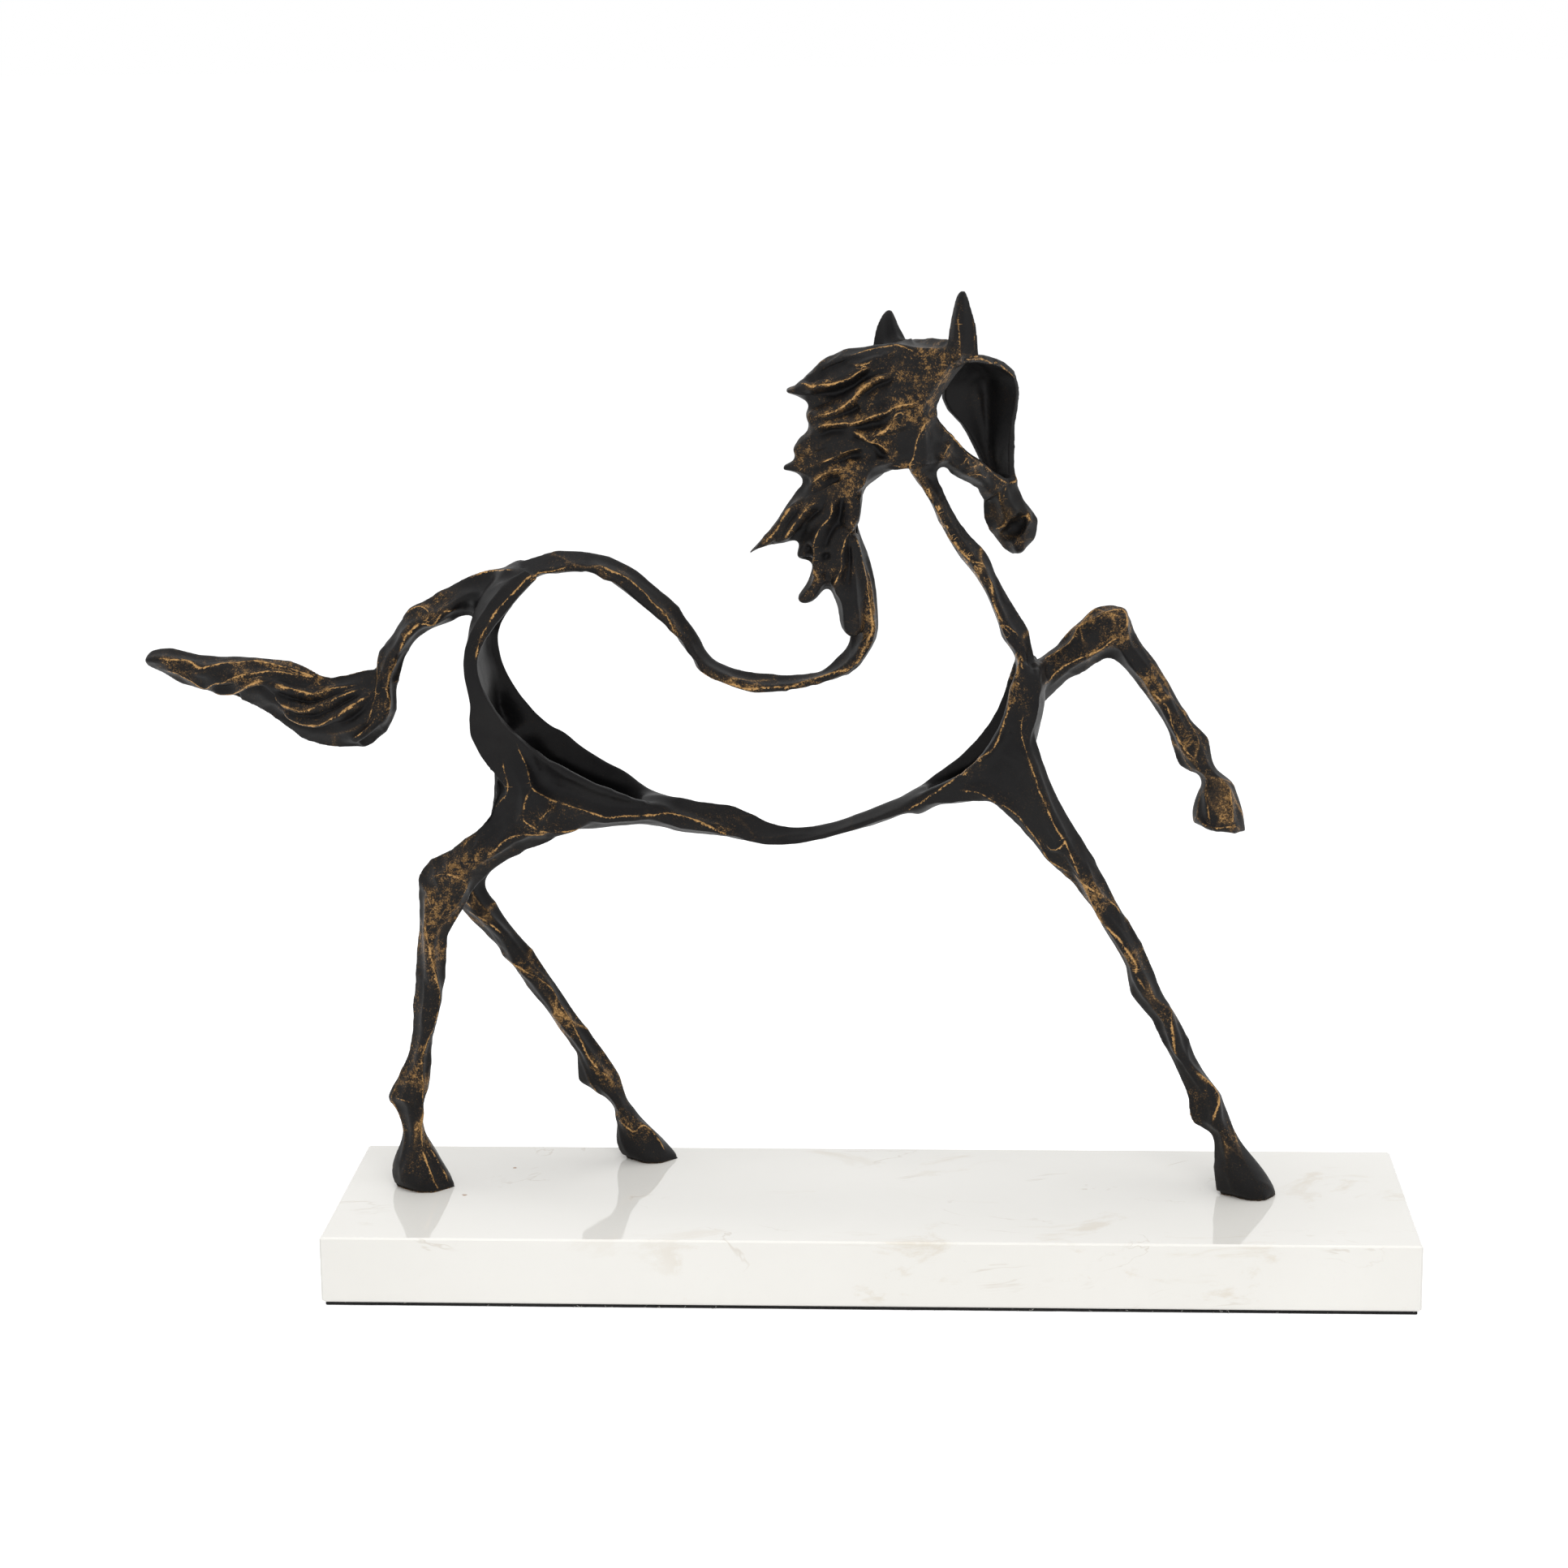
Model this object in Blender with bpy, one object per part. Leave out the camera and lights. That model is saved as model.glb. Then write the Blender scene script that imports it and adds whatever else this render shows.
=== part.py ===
"""Open-work bronze horse on a stone slab, built as cast sections, fixings, slab and felt."""
import math

import bmesh
import bpy
from mathutils import Vector

# Every size is in millimetres. X runs along the slab toward the head, Y runs away from the
# viewer's side, Z is up, and the origin is the middle of the felt's underside.
MM = 0.001

# Main size: the horse from its soles to the tip of its ear. The section tables below are drawn
# for DRAWN_HEIGHT, and the horse and the slab's length and depth follow HORSE_HEIGHT.
HORSE_HEIGHT = 404.5
DRAWN_HEIGHT = 404.5
HORSE_SCALE = HORSE_HEIGHT / DRAWN_HEIGHT

# Slab and felt
SLAB_LENGTH = 480.0 * HORSE_SCALE
SLAB_DEPTH = 127.0 * HORSE_SCALE
SLAB_THICK = 30.0
SLAB_EDGE = 0.8
FELT_THICK = 1.7
FELT_INSET = 1.5

# Gaps between pieces
PIECE_GAP = 0.3
WELD_GAP = 0.4

# Fixings under the slab
STUD_DIA = 6.0
STUD_IN_HOOF = 9.0
STUD_PAST_NUT = 2.0
STUD_CHAMFER = 0.6
STUD_FIT = 0.4
SLAB_HOLE_FIT = 1.0
WASHER_WIDTH = 5.0
WASHER_THICK = 1.6
NUT_WALL = 2.4
NUT_THICK = 5.0
COUNTERBORE_ROOM = 2.0
COUNTERBORE_DEPTH = 12.0
DRILL_OVERRUN = 2.0

# Horse as a whole. It stands behind the middle of the slab.
MEDIAN_Y = 0.19685 * SLAB_DEPTH
SHELL_WALL = 3.2
WALL_HOLLOW = 0.22
FACE_WALL = 2.6
RINGS_PER_SPAN = 2
LIMB_FLAT = 0.22
STRAP_FLAT = 0.16
LOCK_FLAT = 0.5
LOCK_OVERLAP = 0.55
LAPPED_LOCKS = (1, 2, 3, 4, 6)
CHEEK_FLAT = 0.6
RAISED_LEG_FLAT = 0.42

SLAB_BOTTOM = FELT_THICK + PIECE_GAP
SLAB_TOP = SLAB_BOTTOM + SLAB_THICK
SOLE_Z = SLAB_TOP + PIECE_GAP

# A limb or strap is a row of sections. Each section gives the two edges seen from the side,
# (x, z) and (x, z), then its middle's distance from the horse's median plane, its half depth
# and where the ridge on its face runs, from -1 at the first edge to 1 at the second.
# Heights count from the hoof soles.

# Rear edge, then front edge
NEAR_HIND_LEG = [
    (-169.5, 208.5, -153.5, 212, -26, 6, 0),
    (-165.5, 198, -133.5, 174.5, -28, 8, 0.1),
    (-165, 184, -139.5, 163.5, -28, 9, 0.1),
    (-173, 170, -152, 159.5, -27, 9, 0.1),
    (-184, 159.5, -168, 151.5, -26, 8.5, 0),
    (-194.5, 154.5, -173, 146, -25, 8.5, 0),
    (-200.5, 146, -178, 139.5, -24, 8.5, 0.1),
    (-200.5, 134, -181.5, 131.5, -24, 7.5, -0.2),
    (-201.5, 116.5, -189, 118.5, -23, 6.5, -0.2),
    (-204, 98.5, -190.5, 99.5, -22, 6, 0.1),
    (-206.5, 80, -196, 82, -21, 5.5, 0.2),
    (-209, 63, -198.5, 65, -21, 5.5, 0.1),
    (-214.5, 52, -199.5, 51, -20, 6, 0),
    (-219.5, 42.5, -201, 45.5, -20, 6.5, 0.2),
    (-214.5, 35, -204, 39, -20, 5.5, 0.2),
    (-213.5, 25.5, -203.5, 28.5, -19, 5.5, 0.2),
    (-216.5, 16.5, -200.5, 20.5, -19, 7, 0.1),
    (-217.5, 8, -195.5, 9.5, -19, 8.5, 0),
    (-217.5, 0, -189.5, 0, -19, 9.5, 0.1),
]
FAR_HIND_LEG = [
    (-171, 201.5, -155, 207, 26, 6, 0),
    (-173.5, 185.5, -157, 187.5, 28, 7, 0),
    (-174.5, 170, -158, 170, 29, 8, 0),
    (-178, 157, -162.5, 153, 29, 8, 0),
    (-187, 143.5, -172, 141, 28, 8, 0),
    (-194.5, 132, -178.5, 132.5, 27, 7.5, 0),
    (-188.5, 118, -176.5, 124, 26, 7, 0.2),
    (-176.5, 104.5, -165, 108, 26, 6.5, 0.2),
    (-165, 89, -151.5, 90.5, 25, 6.5, -0.1),
    (-153.5, 74, -142.5, 76, 25, 6, -0.1),
    (-145.5, 62, -133.5, 62, 24, 6, -0.2),
    (-137.5, 50.5, -125, 50, 24, 6, 0),
    (-137, 37, -118.5, 38.5, 24, 6.5, 0.2),
    (-123.5, 29.5, -116.5, 30, 23, 5.5, 0.1),
    (-119.5, 21.5, -112, 22.5, 23, 5.5, 0),
    (-119, 13.5, -103.5, 12.5, 23, 7, 0.2),
    (-118.5, 6.5, -96.5, 5.5, 23, 8, 0.2),
    (-117, 0, -90.5, 0, 23, 9, 0.1),
]
NEAR_FORELEG = [
    (50, 193.5, 73, 213.5, -22, 4, 0.4),
    (57, 181.5, 76.5, 199.5, -25, 6.5, 0.5),
    (67, 170, 83, 183.5, -27, 8.5, 0.4),
    (78, 156.5, 93, 167, -28, 8.5, 0.2),
    (88.5, 147.5, 100.5, 153, -27, 8, 0.2),
    (98.5, 134.5, 109, 137.5, -27, 7, -0.3),
    (107.5, 118.5, 119, 119.5, -26, 6.5, -0.2),
    (114, 106.5, 125, 106.5, -26, 6.5, -0.2),
    (117, 94.5, 130.5, 93.5, -25, 6.5, 0),
    (126, 82, 136.5, 82.5, -24, 6, 0.4),
    (131, 71, 142.5, 70.5, -24, 6, 0),
    (138, 56, 150, 56, -23, 6, 0.3),
    (142.5, 45.5, 156, 46.5, -23, 6.5, 0.6),
    (145, 34, 159.5, 38, -23, 6.5, 0.4),
    (153, 28, 162, 30.5, -23, 5.5, 0.2),
    (154.5, 20, 168.5, 21, -22, 7, 0),
    (155, 11, 176, 11, -22, 8.5, 0.2),
    (156, 0, 182.5, 0, -22, 9.5, 0.3),
]
# Lower edge, then upper edge
FAR_FORELEG = [
    (67.5, 212, 69, 237, 15, 7, 0),
    (77.5, 216.5, 76.5, 238, 19, 8, 0),
    (87, 226, 84.5, 244.5, 21, 8, 0),
    (96.5, 232, 93.5, 253, 21, 8, 0),
    (104.5, 237, 103, 260.5, 21, 8, 0),
    (109, 236.5, 114, 259.5, 21, 8, 0.1),
    (115, 231.5, 118, 248.5, 21, 7.5, -0.1),
    (121, 223.5, 127, 236, 20, 7, 0),
    (128, 213.5, 135.5, 221, 20, 6.5, 0.1),
    (134, 203.5, 143.5, 209, 19, 6.5, 0),
    (136.5, 195, 151.5, 201, 19, 6.5, 0),
    (139, 188, 153.5, 191.5, 19, 6, 0.2),
    (147, 184.5, 156, 186, 18, 5.5, 0.2),
    (149, 178.5, 161.5, 182, 18, 6, 0.1),
    (147.5, 174, 163.5, 178, 18, 7, 0),
    (146, 166, 165.5, 169.5, 18, 8, 0),
    (146, 160.5, 168.5, 157, 18, 9, 0),
]
# Upper edge, then lower edge, from the croup along the back and up the neck
TOPLINE = [
    (-167.5, 280.5, -155.5, 271, 0, 9, 0.2),
    (-155, 285, -147, 277.5, 0, 9, 0.3),
    (-143.5, 288.5, -140.5, 279.5, 0, 9, 0.5),
    (-131.5, 289.5, -131, 281.5, 0, 9, 0.6),
    (-118, 287, -122, 280.5, 0, 8.5, 0.5),
    (-106, 282, -112, 275, 0, 8.5, 0.4),
    (-96, 274, -103, 267.5, 0, 8, 0.5),
    (-86.5, 262, -92, 257, 0, 8, 0.4),
    (-78.5, 250, -83.5, 246, 0, 7.5, 0.2),
    (-69.5, 240, -75.5, 236, 0, 7.5, 0.1),
    (-62, 236.5, -66, 231, 0, 7.5, 0),
    (-49, 234.5, -51, 226, 0, 8, 0.4),
    (-34.5, 233.5, -35, 227, 0, 8, 0.3),
    (-23, 235, -21.5, 229.5, 0, 7.5, 0.2),
    (-15.5, 240, -9.5, 233.5, 0, 8, 0.1),
    (-9.5, 246.5, -2, 241, 0, 8.5, 0.3),
    (-7.5, 254.5, 2.5, 250, 0, 9, 0.5),
    (-7.5, 265.5, 3.5, 261, 0, 9, 0.4),
    (-10, 278, 2.5, 276, 0, 9, 0.3),
    (-13, 293, -1.5, 292, -1, 9, 0.4),
    (-16.5, 304.5, -5.5, 304.5, -2, 9, 0.3),
    (-13, 316.5, -3.5, 315, -5, 8.5, 0.2),
    (-6, 327, 4, 322, -8, 8, 0.2),
    (2, 336, 11, 328, -11, 7.5, 0.2),
]
BELLY = [
    (-103, 181.5, -107, 166, 0, 12, 0),
    (-86.5, 177, -90.5, 163, 0, 11, 0.3),
    (-74.5, 175, -77.5, 161.5, 0, 10, 0.4),
    (-61, 174, -63.5, 159.5, 0, 9, 0.4),
    (-46.5, 166.5, -46.5, 156.5, 0, 8.5, 0.6),
    (-32, 164, -31, 157, 0, 8.5, 0.5),
    (-17, 166, -15.5, 160.5, 0, 8.5, 0.2),
    (-2.5, 170.5, 1, 165.5, 0, 9, 0),
    (12, 177, 17.5, 171, 0, 10, 0),
    (24.5, 183.5, 31, 176.5, 0, 12, 0),
]
# Rear edge, then front edge, from the throat down to the chest
BREAST = [
    (15.5, 333.5, 31, 336, -11, 8, -0.4),
    (18, 326, 30.5, 327, -8, 8, -0.4),
    (23.5, 318, 32.5, 318.5, -5, 8, -0.4),
    (29, 308.5, 37, 306.5, -3, 7.5, -0.2),
    (34.5, 297, 43.5, 297, -1, 7.5, -0.1),
    (40.5, 286.5, 52, 287.5, 0, 7.5, -0.2),
    (48, 278.5, 55.5, 279.5, 0, 7.5, -0.3),
    (53, 268.5, 61.5, 268, 0, 7.5, -0.4),
    (56.5, 259, 68.5, 257, 0, 8, -0.5),
    (59.5, 249.5, 72.5, 247.5, 0, 9, -0.3),
    (64.5, 242.5, 74, 241, 0, 10, -0.2),
    (64.5, 231.5, 75, 230, 0, 11, 0),
]
# Upper edge, then lower edge, from the croup out to the tip
TAIL_DOCK = [
    (-164, 282, -168.5, 257.5, 0, 9, 0),
    (-174, 279, -176.5, 263, 0, 9, 0),
    (-184.5, 274, -184, 261.5, 0, 8.5, 0),
    (-196.5, 268, -190.5, 257.5, 1, 8, 0.2),
    (-206, 261.5, -200, 251.5, 1, 8, 0),
    (-212.5, 252, -206, 244.5, 2, 7.5, 0),
    (-219.5, 243.5, -209.5, 236, 3, 7.5, -0.1),
    (-221.5, 232, -212.5, 226.5, 3, 8, 0.1),
    (-224.5, 221, -213.5, 217, 3, 8, 0.1),
    (-228.5, 212.5, -218, 207, 3, 7.5, 0.2),
    (-235, 207, -228.5, 199.5, 3, 6, 0),
]
TAIL_PLUME = [
    (-216, 234.5, -214, 214.5, 3, 6, 0),
    (-224.5, 236, -224.5, 201, 3, 8, 0),
    (-235.5, 233, -239.5, 200, 3, 9, 0.1),
    (-247.5, 232.5, -256.5, 204, 4, 9, 0.1),
    (-258.5, 238.5, -269.5, 214.5, 4, 9, 0),
    (-272.5, 240, -282.5, 221.5, 5, 8.5, -0.1),
    (-287, 240.5, -296.5, 226, 5, 8, -0.2),
    (-302, 241.5, -309, 229, 5, 7, -0.2),
    (-314.5, 245, -319.5, 234, 5, 6, -0.1),
    (-323, 244, -325, 236.5, 5, 4.5, 0),
    (-326, 241, -326, 238.5, 5, 2.5, 0),
]
# Rear edge, then front edge, from the poll down to the throat
CHEEK = [
    (9, 382, 46, 379, -17, 7, 0),
    (6, 374, 43, 373, -17, 9.5, 0),
    (3, 361.5, 32.5, 360, -16, 10.5, 0),
    (1, 350, 30.5, 350.5, -15, 10.5, 0),
    (2, 338, 32, 340.5, -13, 10, 0),
    (6, 327.5, 30.5, 329.5, -10, 9, 0),
]
POLL = [
    (8, 373.5, 8, 381.5, 9, 8, 0),
    (17.5, 372.5, 19, 382.5, -1, 9, 0),
    (29, 372, 29.5, 384, -13, 9, 0),
    (41, 372.5, 40, 383, -23, 8, 0),
]
# Lower edge, then upper edge, from the cheek to the chin
JAW = [
    (21, 331, 29, 353, -14, 8, 0),
    (29.5, 328.5, 34.5, 343.5, -8, 7.5, 0),
    (38.5, 321, 43.5, 333.5, 0, 7, 0),
    (47, 315.5, 52, 325, 10, 6.5, 0),
    (51, 307, 61.5, 318, 19, 6, 0),
]
# Rear edge, then front edge, downward
MUZZLE = [
    (51.5, 318.5, 65, 318, 23, 6, 0),
    (50.5, 307.5, 68.5, 308, 25, 7.5, 0.1),
    (51, 298.5, 74, 301.5, 27, 8.5, 0.2),
    (54.5, 291.5, 75.5, 295.5, 28, 8.5, 0),
    (60, 285.5, 73, 288.5, 29, 7, 0),
    (63.5, 283, 68, 284, 29, 4, 0),
]
# The open mouth is sunk into the near side of the muzzle
MOUTH = [
    (66.5, 304, 72.5, 300.5, 18, 6.5, 0),
    (61.5, 300, 68, 292.5, 19, 7, 0),
    (55, 293, 60, 287.5, 20, 6, 0),
]
NEAR_EAR = [
    (34.5, 379, 48.5, 376.5, -24, 5, -0.3),
    (35.5, 384, 47.5, 382.5, -25, 5, -0.3),
    (36.5, 390, 47, 389, -25, 4.5, -0.3),
    (37.5, 396, 45.5, 395.5, -25, 4, -0.3),
    (39, 402, 44, 401.5, -25, 3, -0.2),
    (41, 404.5, 42.5, 404.5, -25, 1.5, 0),
]
FAR_EAR = [
    (1.5, 376, 18.5, 376.5, 9, 5, 0.2),
    (2.5, 379.5, 17.5, 380.5, 9, 5, 0.2),
    (4, 386, 14, 386, 9, 4, 0.2),
    (6.5, 391.5, 12, 390.5, 9, 3, 0.1),
    (8.5, 393.5, 10.5, 393.5, 9, 1.5, 0),
]
# Mane: upper edge, then lower edge of every lock, from its root to its tip
LOCKS = [
    [
        (20, 383.5, 21, 375, -11, 8.5, 0),
        (3.5, 380, 2.5, 369.5, -11, 8.5, 0),
        (-9.5, 379, -9.5, 366, -12, 8, 0),
        (-20, 374, -19.5, 363, -12, 6.5, 0),
        (-28.5, 365.5, -27.5, 363.5, -12, 3, 0),
    ],
    [
        (27, 381, 29.5, 370.5, -15, 8, 0),
        (11, 376, 12.5, 364, -14, 8.5, 0),
        (-4, 371, -2.5, 357, -14, 8, 0),
        (-20, 365, -21, 355, -13, 6.5, 0),
        (-31, 363, -30.5, 359, -13, 5, 0),
        (-34.5, 362, -34.5, 360.5, -13, 2.5, 0),
    ],
    [
        (34.5, 375.5, 35.5, 364.5, -18, 8, 0),
        (17, 370.5, 19, 357.5, -17, 9, 0),
        (-0.5, 362, 1, 348, -16, 8.5, 0),
        (-15, 356.5, -15, 344, -14, 7.5, 0),
        (-24.5, 353.5, -23.5, 343.5, -13, 5, 0),
        (-26.5, 350.5, -25.5, 347.5, -13, 3, 0),
    ],
    [
        (32.5, 365.5, 28, 347.5, -17, 8, 0),
        (18, 359.5, 13.5, 339.5, -17, 9, 0),
        (-0.5, 350.5, -3, 335, -16, 8.5, 0),
        (-17, 346, -17.5, 332, -14, 7.5, 0),
        (-28.5, 340.5, -27.5, 331.5, -13, 5, 0),
        (-32.5, 336, -31.5, 333.5, -13, 2.5, 0),
    ],
    [
        (21, 347, 17.5, 329.5, -15, 8, 0),
        (6.5, 341, 4, 324.5, -14, 8.5, 0),
        (-10, 337, -10, 320, -12, 8, 0),
        (-23.5, 332, -24.5, 319.5, -11, 6.5, 0),
        (-31.5, 331, -31.5, 325, -11, 4.5, 0),
        (-36.5, 328.5, -36.5, 326.5, -11, 2.5, 0),
    ],
    [
        (2.5, 331.5, -2.5, 318, -12, 8, 0),
        (-9.5, 329, -8, 310.5, -13, 8.5, 0),
        (-20.5, 325.5, -18, 302.5, -13, 8.5, 0),
        (-30.5, 319, -28.5, 296.5, -12, 7.5, 0),
        (-39.5, 305, -37.5, 294, -12, 5, 0),
        (-47, 296.5, -45, 292.5, -13, 3.5, 0),
        (-52, 291, -52, 289.5, -13, 2, 0),
    ],
    [
        (-2, 318.5, -4, 302.5, -14, 8, 0),
        (-13, 311.5, -11, 294.5, -13, 8, 0),
        (-21.5, 303, -19.5, 287, -12, 7, 0),
        (-28, 296, -26, 286.5, -12, 4.5, 0),
        (-31, 290, -30, 288, -13, 2.5, 0),
    ],
    [
        (-20.5, 304.5, -7, 299, -13, 8, 0),
        (-23, 294.5, -10.5, 288.5, -12, 8, 0),
        (-24.5, 283.5, -14, 279, -12, 7.5, 0),
        (-27.5, 276.5, -19.5, 273, -12, 5.5, 0),
        (-30.5, 272.5, -24.5, 268.5, -13, 4, 0),
        (-31, 270, -28.5, 268, -13, 2.5, 0),
    ],
    [
        (-16, 299, -3.5, 298.5, -12, 8, 0),
        (-17.5, 286.5, -2.5, 284.5, -11, 8, 0),
        (-17, 275, -2, 270, -11, 8, 0),
        (-13, 265.5, -1.5, 260.5, -11, 7, 0),
        (-11.5, 258, -3, 255, -11, 5, 0),
        (-8.5, 254.5, -6, 253, -11, 3, 0),
    ],
]

# An open trough has two rims. Each section gives the rim, the fold below it and the keel:
# rim x, z and half width, fold x, z and half width, keel x and z.
HAUNCH = [
    (-145.5, 278, 10, -150.5, 281, 10.5, -154.5, 283),
    (-152.5, 271, 18, -160, 274, 20, -165, 277),
    (-162, 260.5, 27, -168, 262, 29, -172.5, 264.5),
    (-168.5, 250.5, 30, -173, 250, 31, -174.5, 252),
    (-170, 241, 31, -173.5, 239, 32, -175, 239.5),
    (-165.5, 229, 31, -171, 225.5, 32, -172, 226.5),
    (-158.5, 218.5, 30, -171.5, 213.5, 32, -171.5, 213),
    (-149, 208.5, 29, -162.5, 196, 31, -162.5, 195.5),
    (-138.5, 200, 27, -149.5, 182, 30, -147.5, 175),
    (-126.5, 192.5, 24, -133.5, 176.5, 27, -132, 166.5),
    (-112, 184.5, 18, -116.5, 173, 20, -115.5, 168.5),
    (-98, 178.5, 9, -101.5, 172, 11, -101.5, 168.5),
    (-91, 176.5, 5, -93.5, 171, 7.5, -94, 168),
]
CHEST = [
    (16, 177, 4.5, 17.5, 174.5, 6, 20.5, 172.5),
    (26, 183.5, 9.5, 28.5, 180.5, 10.5, 30, 178.5),
    (40.5, 193, 18, 48.5, 184, 20, 52, 182.5),
    (52.5, 206.5, 23, 62, 194.5, 24, 67, 194),
    (59, 219, 24, 69.5, 212, 25, 72.5, 212),
    (62, 228.5, 20, 73, 225, 21, 75, 223),
    (64.5, 237.5, 13, 73, 235.5, 13, 75, 234),
    (64.5, 240, 11, 72, 239, 11, 74, 237.5),
]
# The face is a folded plate turned to the far side: near rim, fold and far rim, as x, distance
# from the median plane and height, from the brow down to the nose
FACE = [
    ((43, -25, 377), (36.5, -11, 378.5), (28.5, 3, 374)),
    ((54.5, -7, 374.5), (45.5, 9, 373.5), (33, 15, 362)),
    ((64.5, 9, 367.5), (51.5, 25, 363), (32, 17, 355)),
    ((67, 16, 355.5), (51.5, 30, 350.5), (35, 20, 348)),
    ((65.5, 19, 345.5), (52, 33, 340.5), (40, 24, 342)),
    ((64.5, 21, 333.5), (53, 35, 329), (45.5, 28, 332.5)),
    ((64.5, 23, 323.5), (56, 36, 320.5), (49.5, 31, 323.5)),
    ((65, 24, 314.5), (58.5, 36, 313), (52, 31, 314)),
]

# Where each table is cut for a weld, counted in rows from its start
WELDS = {
    "near hind": 3,
    "far hind": 3,
    "near fore": 3,
    "far fore": 2,
    "back": 2,
    "withers": 13,
    "crest": 22,
    "belly rear": 1,
    "belly front": 8,
    "throat": 2,
    "breast": 10,
    "tail": 2,
    "jaw": 1.6,
    "chin": 3.2,
}

BRONZE = (0.030, 0.026, 0.022, 1.0)
STONE = (0.86, 0.85, 0.82, 1.0)
FELT = (0.012, 0.012, 0.013, 1.0)
STEEL = (0.52, 0.53, 0.54, 1.0)


def spline(rows, place):
    """Smooth value between the rows at a place counted in rows."""
    last = len(rows) - 1
    place = min(max(place, 0.0), float(last))
    i = min(int(place), last - 1)
    f = place - i
    out = []
    for k in range(len(rows[0])):
        p1 = rows[i][k]
        p2 = rows[i + 1][k]
        p0 = rows[i - 1][k] if i > 0 else 2 * p1 - p2
        p3 = rows[i + 2][k] if i + 2 <= last else 2 * p2 - p1
        a = 2 * p1
        b = p2 - p0
        c = 2 * p0 - 5 * p1 + 4 * p2 - p3
        d = 3 * p1 - p0 - 3 * p2 + p3
        out.append(0.5 * (a + b * f + c * f * f + d * f ** 3))
    return out


def middle(rows, place):
    """Centre of a limb section."""
    s = spline(rows, place)
    return Vector(((s[0] + s[2]) / 2, s[4], (s[1] + s[3]) / 2)) * HORSE_SCALE


def beside_weld(rows, weld, side):
    """Place next to a weld, half a weld gap to one side of it."""
    reach = 0.05
    at = WELDS[weld]
    step = (middle(rows, at + reach) - middle(rows, at - reach)).length / (2 * reach)
    return at + side * WELD_GAP / 2 / step


def places(start, end, per_span):
    """Evenly spread section places from start to end."""
    count = max(2, int(math.ceil((end - start) * per_span)))
    return [start + (end - start) * n / count for n in range(count + 1)]


def new_object(name, verts, faces):
    """Closed mesh object from points in millimetres, facing outward."""
    mesh = bpy.data.meshes.new(name)
    mesh.from_pydata([tuple(c * MM for c in v) for v in verts], [], faces)
    obj = bpy.data.objects.new(name, mesh)
    bpy.context.scene.collection.objects.link(obj)
    bm = bmesh.new()
    bm.from_mesh(mesh)
    bmesh.ops.triangulate(bm, faces=bm.faces[:])
    bmesh.ops.recalc_face_normals(bm, faces=bm.faces[:])
    bm.to_mesh(mesh)
    bm.free()
    return obj


def full_lock(rows):
    """Rows of a lock, spread upward near its root so that it lies over the lock above."""
    out = []
    last = len(rows) - 1
    for n, (x0, z0, x1, z1, y, depth, ridge) in enumerate(rows):
        t = n / last
        more = LOCK_OVERLAP * 6.75 * t * (1 - t) ** 2
        out.append((x0 + (x0 - x1) * more, z0 + (z0 - z1) * more, x1, z1, y, depth, ridge))
    return out


def limb(name, rows, start, end, flat, grow=0.0):
    """Faceted bar through a row of sections, ridged along its near and far faces."""
    stops = places(start, end, RINGS_PER_SPAN)
    verts = []
    for n, place in enumerate(stops):
        x0, z0, x1, z1, y, depth, ridge = spline(rows, place)
        centre = Vector(((x0 + x1) / 2, y, (z0 + z1) / 2)) * HORSE_SCALE
        half = Vector(((x1 - x0) / 2, 0, (z1 - z0) / 2)) * HORSE_SCALE
        width = max(half.length, 0.4)
        half = half.normalized() * (width + grow)
        deep = Vector((0, depth * HORSE_SCALE + grow, 0))
        if grow and n in (0, len(stops) - 1):
            other = middle(rows, stops[1] if n == 0 else stops[-2])
            centre = centre + (centre - other).normalized() * grow
        low = max(ridge - flat, -0.9)
        high = min(ridge + flat, 0.9)
        for u, v in ((-1, 0), (low, -1), (high, -1), (1, 0), (high, 1), (low, 1)):
            p = centre + half * u + deep * v
            verts.append((p.x, p.y + MEDIAN_Y, p.z + SOLE_Z))
    ring = 6
    faces = [list(range(ring))]
    for n in range(len(stops) - 1):
        for k in range(ring):
            a = n * ring + k
            b = n * ring + (k + 1) % ring
            faces.append([a, b, b + ring, a + ring])
    top = (len(stops) - 1) * ring
    faces.append([top + k for k in reversed(range(ring))])
    return new_object(name, verts, faces)


def sheet(name, grid, wall, flip):
    """Plate of even thickness under a grid of outer points."""
    rows = len(grid)
    cols = len(grid[0])
    inner = []
    for i in range(rows):
        line = []
        for j in range(cols):
            along = grid[min(i + 1, rows - 1)][j] - grid[max(i - 1, 0)][j]
            across = grid[i][min(j + 1, cols - 1)] - grid[i][max(j - 1, 0)]
            normal = along.cross(across).normalized() * flip
            line.append(grid[i][j] - normal * wall)
        inner.append(line)
    verts = []
    for layer in (grid, inner):
        for line in layer:
            for p in line:
                verts.append((p.x, p.y + MEDIAN_Y, p.z + SOLE_Z))
    size = rows * cols
    faces = []
    for i in range(rows - 1):
        for j in range(cols - 1):
            a = i * cols + j
            quad = [a, a + 1, a + cols + 1, a + cols]
            faces.append(quad)
            faces.append([size + q for q in reversed(quad)])
    rim = [j for j in range(cols)]
    rim += [i * cols + cols - 1 for i in range(1, rows)]
    rim += [(rows - 1) * cols + j for j in range(cols - 2, -1, -1)]
    rim += [i * cols for i in range(rows - 2, 0, -1)]
    for n, a in enumerate(rim):
        b = rim[(n + 1) % len(rim)]
        faces.append([b, a, size + a, size + b])
    return new_object(name, verts, faces)


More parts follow.
